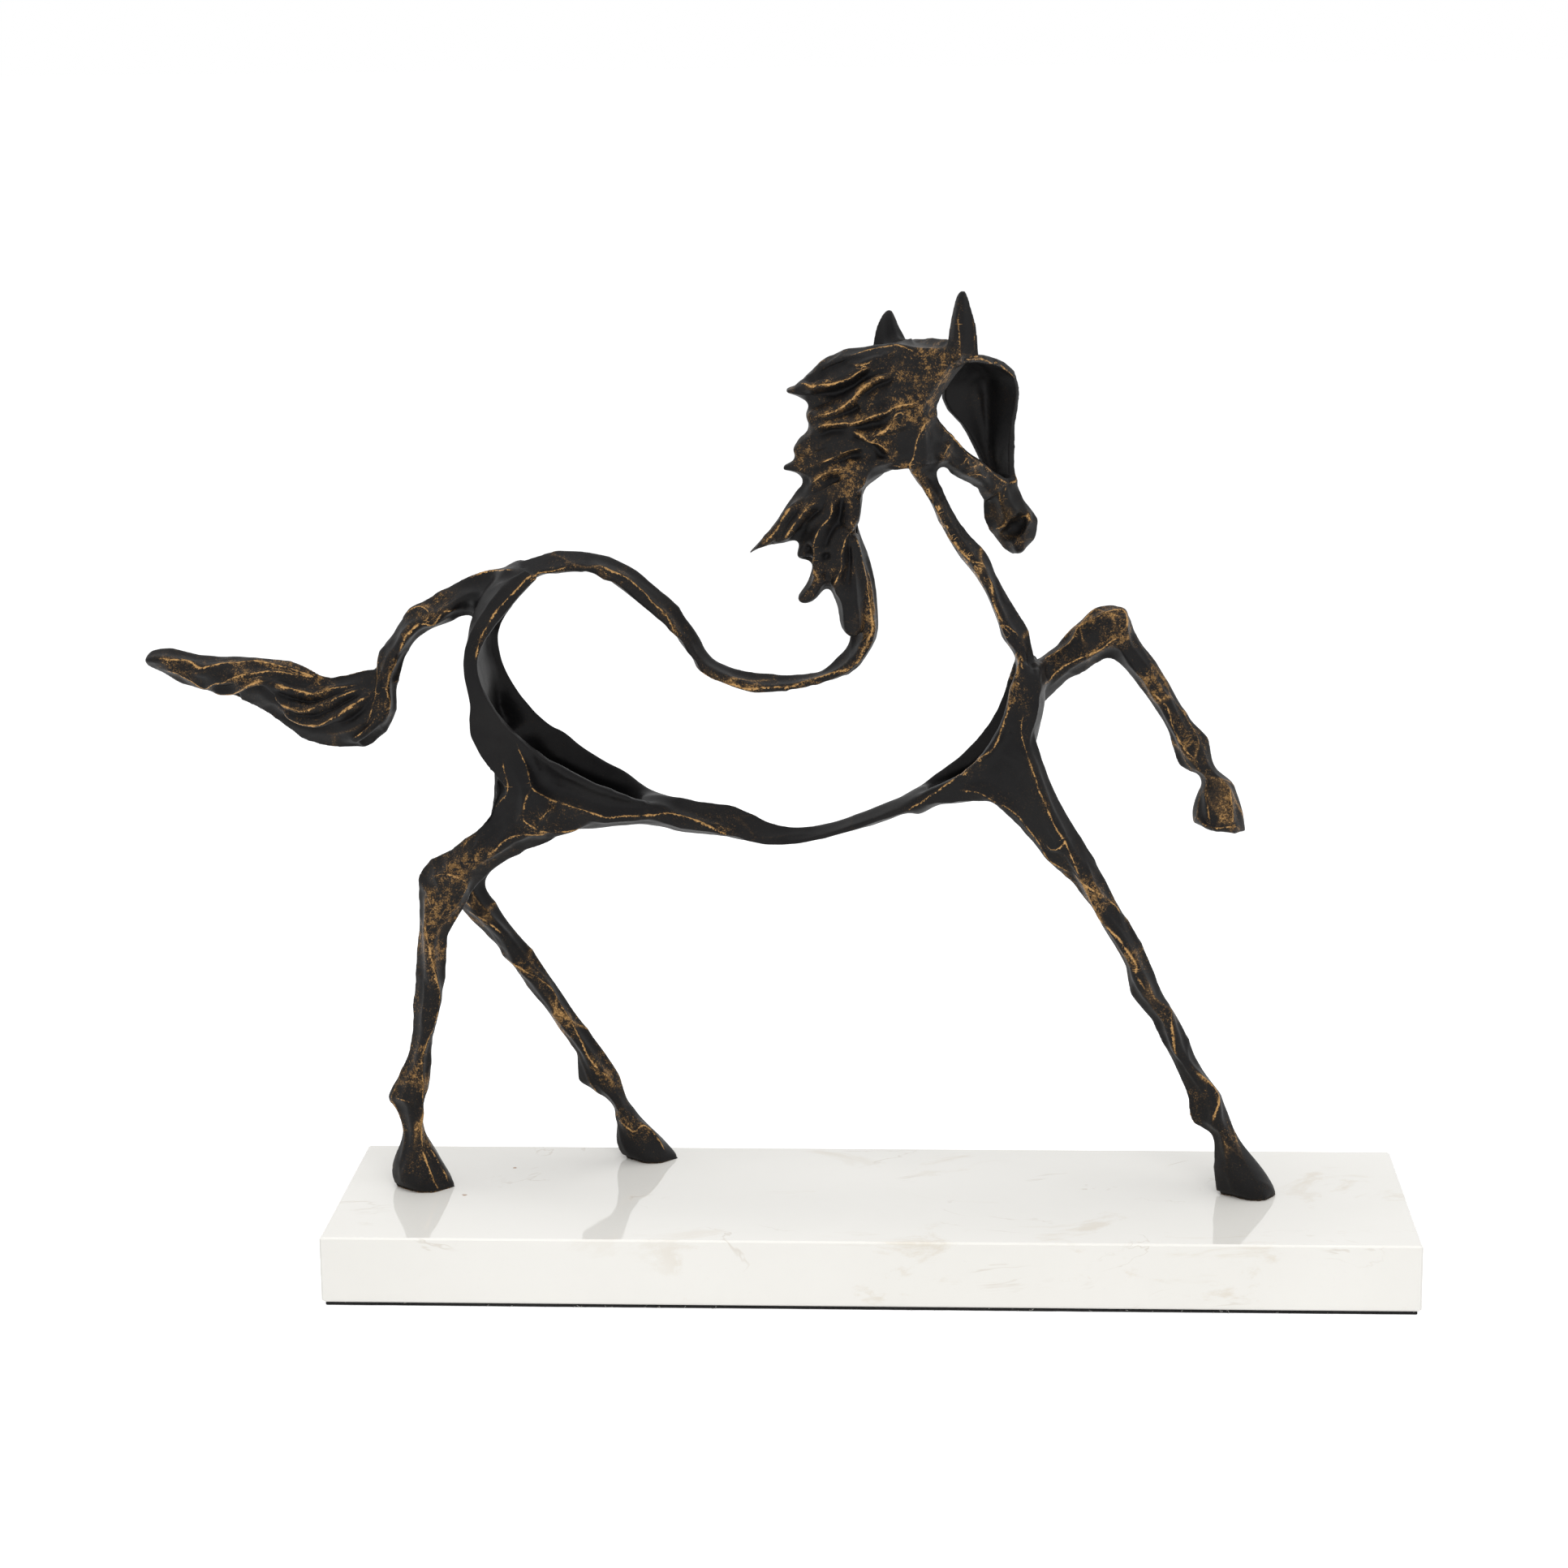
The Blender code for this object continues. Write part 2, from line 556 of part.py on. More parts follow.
def trough(name, rows, wall, flip):
    """Open trough with a rim on each side, its walls hollowed between rim, fold and keel."""
    grid = []
    for place in places(0, len(rows) - 1, RINGS_PER_SPAN):
        rx, rz, rh, fx, fz, fh, kx, kz = spline(rows, place)
        qx = 0.35 * fx + 0.65 * kx
        qz = 0.35 * fz + 0.65 * kz
        hollow = WALL_HOLLOW * math.hypot(rx - fx, rz - fz)
        wall_x = (rx + fx) / 2
        wall_z = (rz + fz) / 2
        wall_h = (rh + fh) / 2 - hollow
        near = [(rx, rz, rh), (wall_x, wall_z, wall_h), (fx, fz, fh), (qx, qz, fh * 0.55)]
        line = [Vector((x, -h, z)) for x, z, h in near]
        line.append(Vector((kx, 0, kz)))
        line += [Vector((x, h, z)) for x, z, h in reversed(near)]
        grid.append([p * HORSE_SCALE for p in line])
    return sheet(name, grid, wall, flip)


def folded_plate(name, rows, wall, flip):
    """Plate folded along its middle rail."""
    flat_rows = [a + b + c for a, b, c in rows]
    grid = []
    for place in places(0, len(rows) - 1, RINGS_PER_SPAN):
        s = spline(flat_rows, place)
        near = Vector(s[0:3]) * HORSE_SCALE
        fold = Vector(s[3:6]) * HORSE_SCALE
        far = Vector(s[6:9]) * HORSE_SCALE
        grid.append([near, near.lerp(fold, 0.5), fold, fold.lerp(far, 0.5), far])
    return sheet(name, grid, wall, flip)


def turned(name, profile, x, y, sides=24):
    """Round solid from a closed profile of radius and height."""
    verts = []
    for radius, z in profile:
        for k in range(sides):
            angle = 2 * math.pi * k / sides
            verts.append((x + radius * math.cos(angle), y + radius * math.sin(angle), z))
    count = len(profile)
    faces = []
    for n in range(count):
        for k in range(sides):
            a = n * sides + k
            b = n * sides + (k + 1) % sides
            c = (n + 1) % count * sides
            faces.append([a, b, c + (k + 1) % sides, c + k])
    return new_object(name, verts, faces)


def post(name, radius, bottom, top, x, y, sides=24, chamfer=0.0):
    """Round bar, with a chamfer at both ends if one is asked for."""
    rings = [(radius, bottom), (radius, top)]
    if chamfer:
        rings = [(radius - chamfer, bottom), (radius, bottom + chamfer)]
        rings += [(radius, top - chamfer), (radius - chamfer, top)]
    verts = []
    for r, z in rings:
        for k in range(sides):
            angle = 2 * math.pi * k / sides
            verts.append((x + r * math.cos(angle), y + r * math.sin(angle), z))
    faces = [list(reversed(range(sides)))]
    for n in range(len(rings) - 1):
        for k in range(sides):
            a = n * sides + k
            b = n * sides + (k + 1) % sides
            faces.append([a, b, b + sides, a + sides])
    faces.append([(len(rings) - 1) * sides + k for k in range(sides)])
    return new_object(name, verts, faces)


def block(name, length, depth, bottom, top, edge):
    """Rectangular slab with its edges eased."""
    verts = []
    rings = [(edge, bottom), (0.0, bottom + edge), (0.0, top - edge), (edge, top)]
    for inset, z in rings:
        hx = length / 2 - inset
        hy = depth / 2 - inset
        ex = hx - edge
        ey = hy - edge
        for x, y in ((hx, -ey), (hx, ey), (ex, hy), (-ex, hy), (-hx, ey), (-hx, -ey), (-ex, -hy), (ex, -hy)):
            verts.append((x, y, z))
    sides = 8
    faces = [list(reversed(range(sides)))]
    for n in range(len(rings) - 1):
        for k in range(sides):
            a = n * sides + k
            b = n * sides + (k + 1) % sides
            faces.append([a, b, b + sides, a + sides])
    faces.append([(len(rings) - 1) * sides + k for k in range(sides)])
    return new_object(name, verts, faces)


def settle(obj, keep_largest=True):
    """Fix the result of the modifiers, weld stray points and keep the one main body."""
    deps = bpy.context.evaluated_depsgraph_get()
    mesh = bpy.data.meshes.new_from_object(obj.evaluated_get(deps))
    obj.modifiers.clear()
    obj.data = mesh
    bm = bmesh.new()
    bm.from_mesh(mesh)
    bmesh.ops.remove_doubles(bm, verts=bm.verts[:], dist=0.0005 * MM)
    bmesh.ops.dissolve_degenerate(bm, edges=bm.edges[:], dist=0.0005 * MM)
    bmesh.ops.triangulate(bm, faces=bm.faces[:])
    if keep_largest:
        left = set(bm.verts)
        bodies = []
        while left:
            seed = left.pop()
            body = {seed}
            edge_of = [seed]
            while edge_of:
                v = edge_of.pop()
                for e in v.link_edges:
                    o = e.other_vert(v)
                    if o in left:
                        left.discard(o)
                        body.add(o)
                        edge_of.append(o)
            bodies.append(body)
        bodies.sort(key=len, reverse=True)
        stray = [v for body in bodies[1:] for v in body]
        bmesh.ops.delete(bm, geom=stray, context="VERTS")
    bmesh.ops.recalc_face_normals(bm, faces=bm.faces[:])
    bm.to_mesh(mesh)
    bm.free()
    return obj


def combine(obj, others, operation):
    """Join other solids to an object, or cut them from it, and use them up."""
    for other in others:
        mod = obj.modifiers.new("combine", "BOOLEAN")
        mod.operation = operation
        mod.solver = "EXACT"
        mod.object = other
        settle(obj)
        bpy.data.objects.remove(other, do_unlink=True)
    return obj


def join(obj, *others):
    return combine(obj, others, "UNION")


def cut(obj, *others):
    return combine(obj, others, "DIFFERENCE")


def paint(obj, colour, metallic, roughness):
    """Give an object its own surface."""
    material = bpy.data.materials.new(obj.name)
    material.use_nodes = True
    shader = material.node_tree.nodes["Principled BSDF"]
    shader.inputs["Base Color"].default_value = colour
    shader.inputs["Metallic"].default_value = metallic
    shader.inputs["Roughness"].default_value = roughness
    obj.data.materials.clear()
    obj.data.materials.append(material)


for old in list(bpy.data.objects):
    bpy.data.objects.remove(old, do_unlink=True)

bronze = []

# Haunch: the open trough with the roots of the back, tail, belly and both thighs
near_hind_root = beside_weld(NEAR_HIND_LEG, "near hind", -1)
far_hind_root = beside_weld(FAR_HIND_LEG, "far hind", -1)
haunch = trough("haunch", HAUNCH, SHELL_WALL, 1)
join(
    haunch,
    limb("root", TOPLINE, 0, beside_weld(TOPLINE, "back", -1), STRAP_FLAT),
    limb("root", TAIL_DOCK, 0, beside_weld(TAIL_DOCK, "tail", -1), STRAP_FLAT),
    limb("root", BELLY, 0, beside_weld(BELLY, "belly rear", -1), STRAP_FLAT),
    limb("root", NEAR_HIND_LEG, 0, near_hind_root, LIMB_FLAT),
    limb("root", FAR_HIND_LEG, 0, far_hind_root, LIMB_FLAT),
)
bronze.append(haunch)

# Chest: the open trough with the roots of the belly, breast and both forelegs
chest = trough("chest", CHEST, SHELL_WALL, 1)
join(
    chest,
    limb("root", BELLY, beside_weld(BELLY, "belly front", 1), len(BELLY) - 1, STRAP_FLAT),
    limb("root", BREAST, beside_weld(BREAST, "breast", 1), len(BREAST) - 1, STRAP_FLAT),
    limb("root", NEAR_FORELEG, 0, beside_weld(NEAR_FORELEG, "near fore", -1), LIMB_FLAT),
    limb("root", FAR_FORELEG, 0, beside_weld(FAR_FORELEG, "far fore", -1), RAISED_LEG_FLAT),
)
bronze.append(chest)

# Straps and legs between the welds
back_start = beside_weld(TOPLINE, "back", 1)
back_end = beside_weld(TOPLINE, "withers", -1)
bronze.append(limb("back_strap", TOPLINE, back_start, back_end, STRAP_FLAT))
crest_start = beside_weld(TOPLINE, "withers", 1)
crest_end = beside_weld(TOPLINE, "crest", -1)
neck = limb("neck_crest", TOPLINE, crest_start, crest_end, STRAP_FLAT)
bronze.append(neck)
belly_start = beside_weld(BELLY, "belly rear", 1)
belly_end = beside_weld(BELLY, "belly front", -1)
bronze.append(limb("belly_strap", BELLY, belly_start, belly_end, STRAP_FLAT))
breast_start = beside_weld(BREAST, "throat", 1)
breast_end = beside_weld(BREAST, "breast", -1)
bronze.append(limb("breast_strap", BREAST, breast_start, breast_end, STRAP_FLAT))
dock_start = beside_weld(TAIL_DOCK, "tail", 1)
tail = limb("tail", TAIL_DOCK, dock_start, len(TAIL_DOCK) - 1, STRAP_FLAT)
join(tail, limb("root", TAIL_PLUME, 0, len(TAIL_PLUME) - 1, STRAP_FLAT))
bronze.append(tail)

legs = {}
for name, rows, weld, flat in (
    ("near_hind_leg", NEAR_HIND_LEG, "near hind", LIMB_FLAT),
    ("far_hind_leg", FAR_HIND_LEG, "far hind", LIMB_FLAT),
    ("near_foreleg", NEAR_FORELEG, "near fore", LIMB_FLAT),
    ("far_foreleg", FAR_FORELEG, "far fore", RAISED_LEG_FLAT),
):
    legs[name] = limb(name, rows, beside_weld(rows, weld, 1), len(rows) - 1, flat)
    bronze.append(legs[name])

# Cheek with the poll and the roots of the neck, throat and jaw
crest_top = len(TOPLINE) - 1


def cheek_solid(name, grow):
    solid = limb(name, CHEEK, 0, len(CHEEK) - 1, CHEEK_FLAT, grow)
    return join(
        solid,
        limb("root", POLL, 0, len(POLL) - 1, LIMB_FLAT, grow),
        limb("root", TOPLINE, beside_weld(TOPLINE, "crest", 1), crest_top, STRAP_FLAT, grow),
        limb("root", BREAST, 0, beside_weld(BREAST, "throat", -1), STRAP_FLAT, grow),
        limb("root", JAW, 0, beside_weld(JAW, "jaw", -1), LIMB_FLAT, grow),
    )


def muzzle_solid(name, grow):
    solid = limb(name, MUZZLE, 0, len(MUZZLE) - 1, LIMB_FLAT, grow)
    return join(solid, limb("root", JAW, beside_weld(JAW, "chin", 1), len(JAW) - 1, LIMB_FLAT, grow))


cheek = cheek_solid("cheek", 0.0)
bronze.append(cheek)
muzzle = muzzle_solid("muzzle", 0.0)
cut(muzzle, limb("mouth", MOUTH, 0, len(MOUTH) - 1, LIMB_FLAT))
bronze.append(muzzle)
jaw_start = beside_weld(JAW, "jaw", 1)
jaw_end = beside_weld(JAW, "chin", -1)
bronze.append(limb("jaw", JAW, jaw_start, jaw_end, LIMB_FLAT))

# Face, ears and mane are coped to what they are welded on
face = folded_plate("face", FACE, FACE_WALL, 1)
cut(face, cheek_solid("cope", PIECE_GAP), muzzle_solid("cope", PIECE_GAP))
bronze.append(face)
for name, rows in (("near_ear", NEAR_EAR), ("far_ear", FAR_EAR)):
    ear = limb(name, rows, 0, len(rows) - 1, LIMB_FLAT)
    cut(ear, cheek_solid("cope", PIECE_GAP))
    bronze.append(ear)
mane = limb("mane", LOCKS[0], 0, len(LOCKS[0]) - 1, LOCK_FLAT)
for n, rows in enumerate(LOCKS):
    if n > 0:
        rows = full_lock(rows) if n in LAPPED_LOCKS else rows
        join(mane, limb("root", rows, 0, len(rows) - 1, LOCK_FLAT))
crest_cope = limb("cope", TOPLINE, crest_start, crest_end, STRAP_FLAT, PIECE_GAP)
cut(mane, cheek_solid("cope", PIECE_GAP), crest_cope)
bronze.append(mane)

# Slab, felt and the fixings at the three standing hooves
slab = block("stone_base", SLAB_LENGTH, SLAB_DEPTH, SLAB_BOTTOM, SLAB_TOP, SLAB_EDGE)
felt_length = SLAB_LENGTH - 2 * FELT_INSET
felt_depth = SLAB_DEPTH - 2 * FELT_INSET
felt = block("felt_pad", felt_length, felt_depth, 0.0, FELT_THICK, FELT_THICK / 6)
stud_radius = STUD_DIA / 2
bore_radius = stud_radius + STUD_FIT
washer_radius = bore_radius + WASHER_WIDTH
counterbore_radius = washer_radius + COUNTERBORE_ROOM
counterbore_top = SLAB_BOTTOM + COUNTERBORE_DEPTH
washer_top = counterbore_top - PIECE_GAP
nut_top = washer_top - WASHER_THICK - PIECE_GAP
nut_bottom = nut_top - NUT_THICK
steel = []
for name, rows in (
    ("near_hind", NEAR_HIND_LEG),
    ("far_hind", FAR_HIND_LEG),
    ("near_fore", NEAR_FORELEG),
):
    hoof = middle(rows, len(rows) - 2)
    x = hoof.x
    y = hoof.y + MEDIAN_Y
    leg = legs[name + ("_leg" if "hind" in name else "leg")]
    stud_top = SOLE_Z + STUD_IN_HOOF
    cut(leg, post("hole", bore_radius, SOLE_Z - DRILL_OVERRUN, stud_top + STUD_FIT, x, y))
    hole_radius = stud_radius + SLAB_HOLE_FIT
    cut(slab, post("hole", hole_radius, SLAB_BOTTOM - DRILL_OVERRUN, SLAB_TOP + DRILL_OVERRUN, x, y))
    cut(slab, post("hole", counterbore_radius, SLAB_BOTTOM - DRILL_OVERRUN, counterbore_top, x, y))
    stud_bottom = nut_bottom - STUD_PAST_NUT
    steel.append(post(name + "_stud", stud_radius, stud_bottom, stud_top, x, y, 24, STUD_CHAMFER))
    ring = [(bore_radius, washer_top - WASHER_THICK), (washer_radius, washer_top - WASHER_THICK)]
    ring += [(washer_radius, washer_top), (bore_radius, washer_top)]
    steel.append(turned(name + "_washer", ring, x, y))
    nut = post(name + "_nut", (bore_radius + NUT_WALL) / math.cos(math.pi / 6), nut_bottom, nut_top, x, y, 6)
    cut(nut, post("hole", bore_radius, nut_bottom - DRILL_OVERRUN, nut_top + DRILL_OVERRUN, x, y))
    steel.append(nut)

for obj in bronze:
    paint(obj, BRONZE, 1.0, 0.45)
paint(slab, STONE, 0.0, 0.18)
paint(felt, FELT, 0.0, 0.95)
for obj in steel:
    paint(obj, STEEL, 1.0, 0.35)
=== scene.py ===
"""Bronze horse on a stone slab: cast skin, patina, stone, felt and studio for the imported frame."""
import math

import bmesh
import bpy
import numpy as np
from mathutils import Matrix, Vector
from mathutils.bvhtree import BVHTree
from mathutils.kdtree import KDTree


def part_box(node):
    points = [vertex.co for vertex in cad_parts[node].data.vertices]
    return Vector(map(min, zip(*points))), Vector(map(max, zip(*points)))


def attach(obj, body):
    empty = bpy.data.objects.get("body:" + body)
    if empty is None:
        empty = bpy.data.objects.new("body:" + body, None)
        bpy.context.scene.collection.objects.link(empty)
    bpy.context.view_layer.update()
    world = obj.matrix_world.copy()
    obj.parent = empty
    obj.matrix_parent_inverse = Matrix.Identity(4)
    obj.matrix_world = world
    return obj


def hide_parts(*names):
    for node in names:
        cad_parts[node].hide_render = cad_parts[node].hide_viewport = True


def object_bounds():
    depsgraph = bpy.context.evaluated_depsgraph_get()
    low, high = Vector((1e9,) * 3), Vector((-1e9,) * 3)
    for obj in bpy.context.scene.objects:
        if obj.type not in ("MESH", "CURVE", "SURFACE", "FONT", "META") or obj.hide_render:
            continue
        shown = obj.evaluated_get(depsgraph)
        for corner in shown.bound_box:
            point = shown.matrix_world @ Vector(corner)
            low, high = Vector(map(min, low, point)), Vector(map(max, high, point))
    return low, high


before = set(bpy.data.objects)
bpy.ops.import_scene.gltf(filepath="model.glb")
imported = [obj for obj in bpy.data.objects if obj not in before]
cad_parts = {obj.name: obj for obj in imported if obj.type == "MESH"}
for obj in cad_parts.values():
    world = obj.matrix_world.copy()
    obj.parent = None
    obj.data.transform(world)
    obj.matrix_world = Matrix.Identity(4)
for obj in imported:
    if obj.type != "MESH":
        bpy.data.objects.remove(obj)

cad_low, cad_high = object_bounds()
MM = 0.001
scene = bpy.context.scene
scene.view_settings.view_transform = "Standard"

# Sizes, in millimetres
SLAB_TOP = 32.0
SLAB_ARRIS = 0.08
SKIN_VOXEL = 0.74
WELD_FILL = 0.9

# Rounds of smoothing: of the CAD's facets, of how far they are built up, round a worked spot and
# round a hoof
MELT_ROUNDS = 28
BUILD_ROUNDS = 40
BLEND_ROUNDS = 140
HOOF_ROUNDS = 110

# Hooves: how high they are, how far round they are smoothed and grown, and by how much they grow
HOOF_HEIGHT = 16.0
HOOF_REACH = 17.0
HOOF_WIDTH = 15.0
HOOF_GROWTH = 2.2

# Soles lower than this over the slab are set down on it, with this much air
SOLE_HEIGHT = 1.3
SOLE_AIR = 0.03

# Drawn marks: how high or deep and how wide each kind is
FOLD_HEIGHT, FOLD_WIDTH = 2.6, 2.8
FOLD_DIP, FOLD_DIP_WIDTH, FOLD_DIP_BELOW = 2.2, 2.3, 4.0
CREST_HEIGHT, CREST_WIDTH = 0.75, 1.1
RIDGE_HEIGHT, RIDGE_WIDTH = 0.5, 3.6
RIM_HEIGHT, RIM_WIDTH = 0.35, 1.5
PLAIN_HEIGHT, PLAIN_WIDTH = 1.1, 2.2
GROOVE_DEPTH, GROOVE_WIDTH = 2.2, 2.3
BESIDE_DEPTH, BESIDE_WIDTH = 0.6, 5.0
HIDDEN_SHARE = 0.5
UNMARKED = 60.0

# Lids under the welds: rim depth, depth and slack inside, longest edge, share of the room under the
# skin that they may use, and where and how far that room is measured
RIM_DEPTH = 1.5
LID_DEPTH = 0.8
LID_SLACK = 0.6
LID_EDGE = 2.0
ROOM_SHARE = 0.35
ROOM_START = 0.3
ROOM_LIMIT = 20.0

# Felt: steps along its sides, how ragged its cut is, and its rings as inset and height, the last
# two heights taken down from the top
FELT_STEPS = (200, 60)
FELT_RAGGED = 0.12
FELT_LOW_RINGS = ((0.5, 0.0), (0.12, 0.35), (0.0, 0.8))
FELT_TOP_RINGS = ((0.05, 0.3), (0.35, 0.0))

# Felt fibres: number per square metre, length in metres, thickness as a share of the length, and
# the share that isn't pale lint, which is longer by the last number
FIBRE_COUNT = 1.1e6
FIBRE_LENGTH = 0.0008
FIBRE_RADIUS = 0.035
DARK_SHARE = 0.94
LINT_LONGER = 1.6


# Blender helpers
def placed(name, data):
    """A new object in the scene."""
    thing = bpy.data.objects.new(name, data)
    scene.collection.objects.link(thing)
    return thing


def evaluated(thing):
    """A mesh of an object with its modifiers applied."""
    return bpy.data.meshes.new_from_object(thing.evaluated_get(bpy.context.evaluated_depsgraph_get()))


def values(rows, key, width=1, kind=float):
    """One attribute of all the vertices, loops or triangles of a mesh, end to end."""
    flat = np.empty(len(rows) * width, dtype=kind)
    rows.foreach_get(key, flat)
    return flat


# Camera
CAMERA_AT = (48.8, -1498.8, 557.2)
CAMERA_PITCH = 12.6
CAMERA_YAW = -3.28
CAMERA_ROLL = -0.68
FOCAL_PIXELS = 4300.0
FRAME_PIXELS = 1932.0
SENSOR_WIDTH = 36.0


def photo_camera():
    """Set up the photograph's camera and return its right, up and forward directions."""
    pitch, yaw, roll = (math.radians(a) for a in (CAMERA_PITCH, CAMERA_YAW, CAMERA_ROLL))
    ahead = Vector((
        math.sin(yaw) * math.cos(pitch), math.cos(yaw) * math.cos(pitch), -math.sin(pitch)))
    level = Vector((math.cos(yaw), -math.sin(yaw), 0.0))
    rise = level.cross(ahead)
    right = level * math.cos(roll) + rise * math.sin(roll)
    up = rise * math.cos(roll) - level * math.sin(roll)
    lens = bpy.data.cameras.new("photo_camera")
    lens.sensor_width = SENSOR_WIDTH
    lens.lens = SENSOR_WIDTH * FOCAL_PIXELS / FRAME_PIXELS
    lens.clip_start = 0.05
    lens.clip_end = 50.0
    camera = placed("photo_camera", lens)
    turn = Matrix((right, up, -ahead)).transposed().to_4x4()
    camera.matrix_world = Matrix.Translation(Vector(CAMERA_AT) * MM) @ turn
    scene.camera = camera
    return right, up, ahead


RIGHT, UP, AHEAD = photo_camera()


def sight(u, v):
    """The camera's ray through a pixel of the photograph."""
    middle = FRAME_PIXELS / 2
    return (AHEAD + RIGHT * ((u - middle) / FOCAL_PIXELS) - UP * ((v - middle) / FOCAL_PIXELS)).normalized()


# Node helpers
class Wiring:
    """A node tree being wired: adds nodes with their settings and inputs, and joins sockets."""

    def __init__(self, tree):
        self.tree = tree

    def add(self, kind, inputs=None, **settings):
        node = self.tree.nodes.new(kind)
        for key, value in settings.items():
            setattr(node, key, value)
        self.fill(node, inputs or {})
        return node

    def fill(self, node, inputs):
        for key, value in inputs.items():
            if isinstance(value, bpy.types.NodeSocket):
                self.join(value, node.inputs[key])
            else:
                node.inputs[key].default_value = value

    def join(self, source, target):
        self.tree.links.new(source, target)

    def calc(self, a, b, operation="ADD"):
        return self.add("ShaderNodeMath", {0: a, 1: b}, operation=operation).outputs[0]


class Surface(Wiring):
    """A material being wired."""

    def __init__(self, name):
        self.material = bpy.data.materials.new(name)
        self.material.use_nodes = True
        super().__init__(self.material.node_tree)
        self.shader = self.tree.nodes["Principled BSDF"]
        self.place = self.add("ShaderNodeTexCoord").outputs["Object"]

    def attribute(self, name):
        return self.add("ShaderNodeAttribute", attribute_name=name).outputs["Fac"]

    def noise(self, scale, detail=3.0, rough=0.55, at=None, warp=0.0):
        return self.add("ShaderNodeTexNoise", {
            "Vector": at or self.place, "Scale": scale, "Detail": detail, "Roughness": rough,
            "Distortion": warp}).outputs["Fac"]

    def span(self, value, low, high, to_low=0.0, to_high=1.0, smooth=True):
        inputs = {"Value": value, "From Min": low, "From Max": high, "To Min": to_low, "To Max": to_high}
        kind = "SMOOTHSTEP" if smooth else "LINEAR"
        return self.add("ShaderNodeMapRange", inputs, interpolation_type=kind).outputs["Result"]

    def blend(self, amount, first, second):
        tones = [c if isinstance(c, bpy.types.NodeSocket) else (*c, 1.0) for c in (first, second)]
        inputs = {"Factor": amount, 6: tones[0], 7: tones[1]}
        return self.add("ShaderNodeMix", inputs, data_type="RGBA").outputs[2]

    def bump(self, height, strength, distance):
        node = self.add("ShaderNodeBump", {"Strength": strength, "Distance": distance, "Height": height})
        self.join(node.outputs["Normal"], self.shader.inputs["Normal"])


# Finishes
def patinated_bronze():
    """Near-black waxed patina, rubbed through to gold along the crests, darker in hollows and with painted
    shade where other parts stand close in front.
    """
    s = Surface("patinated_bronze")
    gilt_and_painted_shade = s.attribute("gilt_and_painted_shade")
    rub = s.attribute("rub")
    flake = s.noise(1100.0, 4.0, 0.65)
    grain = s.noise(4200.0, 2.0, 0.5)
    dust = s.noise(1500.0, 3.0, 0.75, warp=0.6)
    drift = s.noise(60.0, 4.0, 0.6)
    cloud = s.noise(15.0, 3.0, 0.5)
    drawn = s.attribute("line")
    seam = s.attribute("seam")
    across = s.calc(s.calc(seam, s.span(flake, 0.25, 0.75, -0.45, 0.45, False)), 0.0, "ABSOLUTE")
    thick = s.span(s.noise(120.0, 3.0, 0.6), 0.35, 0.65, 0.25, 0.68, False)
    drawn = s.calc(drawn, s.span(s.calc(across, thick, "DIVIDE"), 0.15, 1.25, 1.0, 0.0), "MULTIPLY")
    drawn = s.calc(drawn, s.span(s.noise(240.0, 4.0, 0.7), 0.30, 0.62, 0.35, 1.15), "MULTIPLY")
    line = s.calc(gilt_and_painted_shade, drawn, "MAXIMUM")
    line = s.calc(line, s.span(flake, 0.25, 0.75, -0.24, 0.24, False))
    line = s.calc(line, s.span(grain, 0.3, 0.7, -0.10, 0.10, False))
    cluster = s.span(s.noise(330.0, 4.0, 0.7), 0.36, 0.64, 0.25, 1.25, False)
    speck = s.calc(dust, s.calc(s.calc(rub, cluster, "MULTIPLY"), 0.34, "MULTIPLY"))
    gold = s.calc(s.span(line, 0.48, 0.74), s.span(speck, 0.76, 0.86, 0.0, 0.8), "MAXIMUM")
    brown = s.calc(s.span(line, 0.20, 0.60), s.span(speck, 0.62, 0.84, 0.0, 0.8), "MAXIMUM")
    dark = s.blend(s.span(drift, 0.35, 0.7), (0.0060, 0.0058, 0.0062), (0.0098, 0.0094, 0.0095))
    dark = s.blend(s.span(cloud, 0.4, 0.75, 0.0, 0.5), dark, (0.0118, 0.0109, 0.0104))
    # Darker base where the attribute goes below zero: unrubbed patina in hollows, and painted shade where
    # another part of the horse stands close in front
    dark = s.blend(s.span(gilt_and_painted_shade, -0.5, 0.0, 0.75, 0.0), dark, (0.0046, 0.0045, 0.0050))
    tone = s.blend(brown, dark, (0.052, 0.033, 0.018))
    shine = s.calc(s.span(flake, 0.36, 0.66, 0.0, 0.6), s.span(line, 0.55, 1.05, 0.0, 0.5))
    bright = s.blend(shine, (0.140, 0.076, 0.027), (0.52, 0.300, 0.115))
    tone = s.blend(gold, tone, bright)
    rough = s.calc(s.span(drift, 0.3, 0.7, 0.40, 0.52, False), s.calc(gold, -0.06, "MULTIPLY"))
    s.fill(s.shader, {"Base Color": tone, "Metallic": s.calc(gold, 0.65, "MULTIPLY"), "Roughness": rough,
                      "Specular IOR Level": 0.14})
    s.bump(s.calc(flake, s.calc(grain, 0.4, "MULTIPLY")), 0.22, 0.00022)
    return s.material


